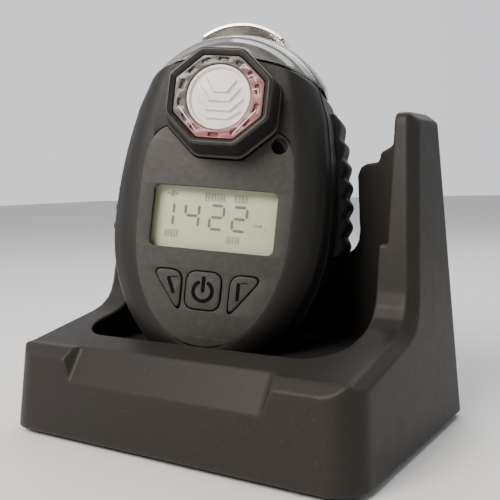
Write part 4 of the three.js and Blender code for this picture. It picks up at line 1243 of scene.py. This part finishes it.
def camera():
    data = bpy.data.cameras.new("camera")
    data.sensor_width = CAMERA.sensor
    data.lens = CAMERA.lens
    spot = Vector(CAMERA.spot) * MM
    aim = Vector(CAMERA.aim) * MM
    away = (spot - aim).normalized()
    right = Vector((0, 0, 1)).cross(away).normalized()
    up = away.cross(right)
    roll = radians(CAMERA.roll)
    tilted_right = right * cos(roll) + up * sin(roll)
    tilted_up = up * cos(roll) - right * sin(roll)
    holder = placed("camera", data)
    turned = Matrix((tilted_right, tilted_up, away)).transposed().to_4x4()
    holder.matrix_world = Matrix.Translation(spot) @ turned
    data.clip_start = 0.01
    bpy.context.scene.camera = holder


def soft_light(name, spot, aim, size, power, colour=(1, 1, 1)):
    data = bpy.data.lights.new(name, "AREA")
    data.shape = "RECTANGLE"
    data.size, data.size_y = size
    data.energy = power
    data.color = colour
    holder = placed(name, data)
    away = Vector(spot) - Vector(aim)
    holder.matrix_world = Matrix.Translation(spot) @ away.to_track_quat("Z", "Y").to_matrix().to_4x4()


def floor():
    """A pale sheet under and round the dock."""
    reach = 3.0
    mesh = bpy.data.meshes.new("floor")
    corners = [(x, y, 0) for x, y in box(-reach, reach, -reach, reach)]
    mesh.from_pydata(corners, [], [(0, 1, 2, 3)])
    s = Shader("floor")
    s.colour(s.ramp(s.noise(0.003, 3), (0.80, 0.80, 0.79), (0.84, 0.84, 0.83)))
    s.set(Roughness=0.7)
    mesh.materials.append(s.material)
    plane = placed("floor", mesh)


def studio():
    """A sky that is bright on the left and dim on the right, and three soft lights."""
    world = bpy.data.worlds.new("studio")
    world.use_nodes = True
    tree = world.node_tree
    background = tree.nodes["Background"]
    background.inputs["Color"].default_value = (0.95, 0.96, 1.0, 1)
    facing = tree.nodes.new("ShaderNodeVectorMath")
    facing.operation = "DOT_PRODUCT"
    facing.inputs[1].default_value = Vector((-0.78, 0.6, 0.1)).normalized()
    bright = tree.nodes.new("ShaderNodeMapRange")
    for socket, value in (("From Min", -0.7), ("From Max", 0.9), ("To Min", 0.06), ("To Max", 1.1)):
        bright.inputs[socket].default_value = value
    tree.links.new(tree.nodes.new("ShaderNodeTexCoord").outputs["Generated"], facing.inputs[0])
    tree.links.new(facing.outputs["Value"], bright.inputs["Value"])
    tree.links.new(bright.outputs["Result"], background.inputs["Strength"])
    bpy.context.scene.world = world
    soft_light("key", (-0.12, -0.62, 0.6), (0, 0, 0.06), (0.5, 0.4), 10.5, (1.0, 0.93, 0.87))
    soft_light("fill", (0.6, 0.1, 0.3), (0, 0, 0.06), (0.35, 0.35), 0.5, (0.88, 1.0, 0.93))
    soft_light("rear", (-0.05, 0.5, 0.6), (0, 0, 0.08), (0.5, 0.3), 2)


# ---- assembly

camera()
studio()
floor()
dress_cad_nodes()
dock_parts()
front_housing()
rear_housing()
housing_seal()
side_grip("grip_strip_left", -1)
side_grip("grip_strip_right", 1)
front_panel()
display_parts()
key_piece("power_key_cap", "power_button", power_outline(0), power_glyph())
key_piece("left_key_cap", "left_button", side_key_outline(-1, 0), side_glyph(-1))
key_piece("right_key_cap", "right_button", side_key_outline(1, 0), side_glyph(1))
sensor_cap()
sensor_frame()
guard_painted_glints()
sensor_lens()
alarm_dome()
belt_clip()
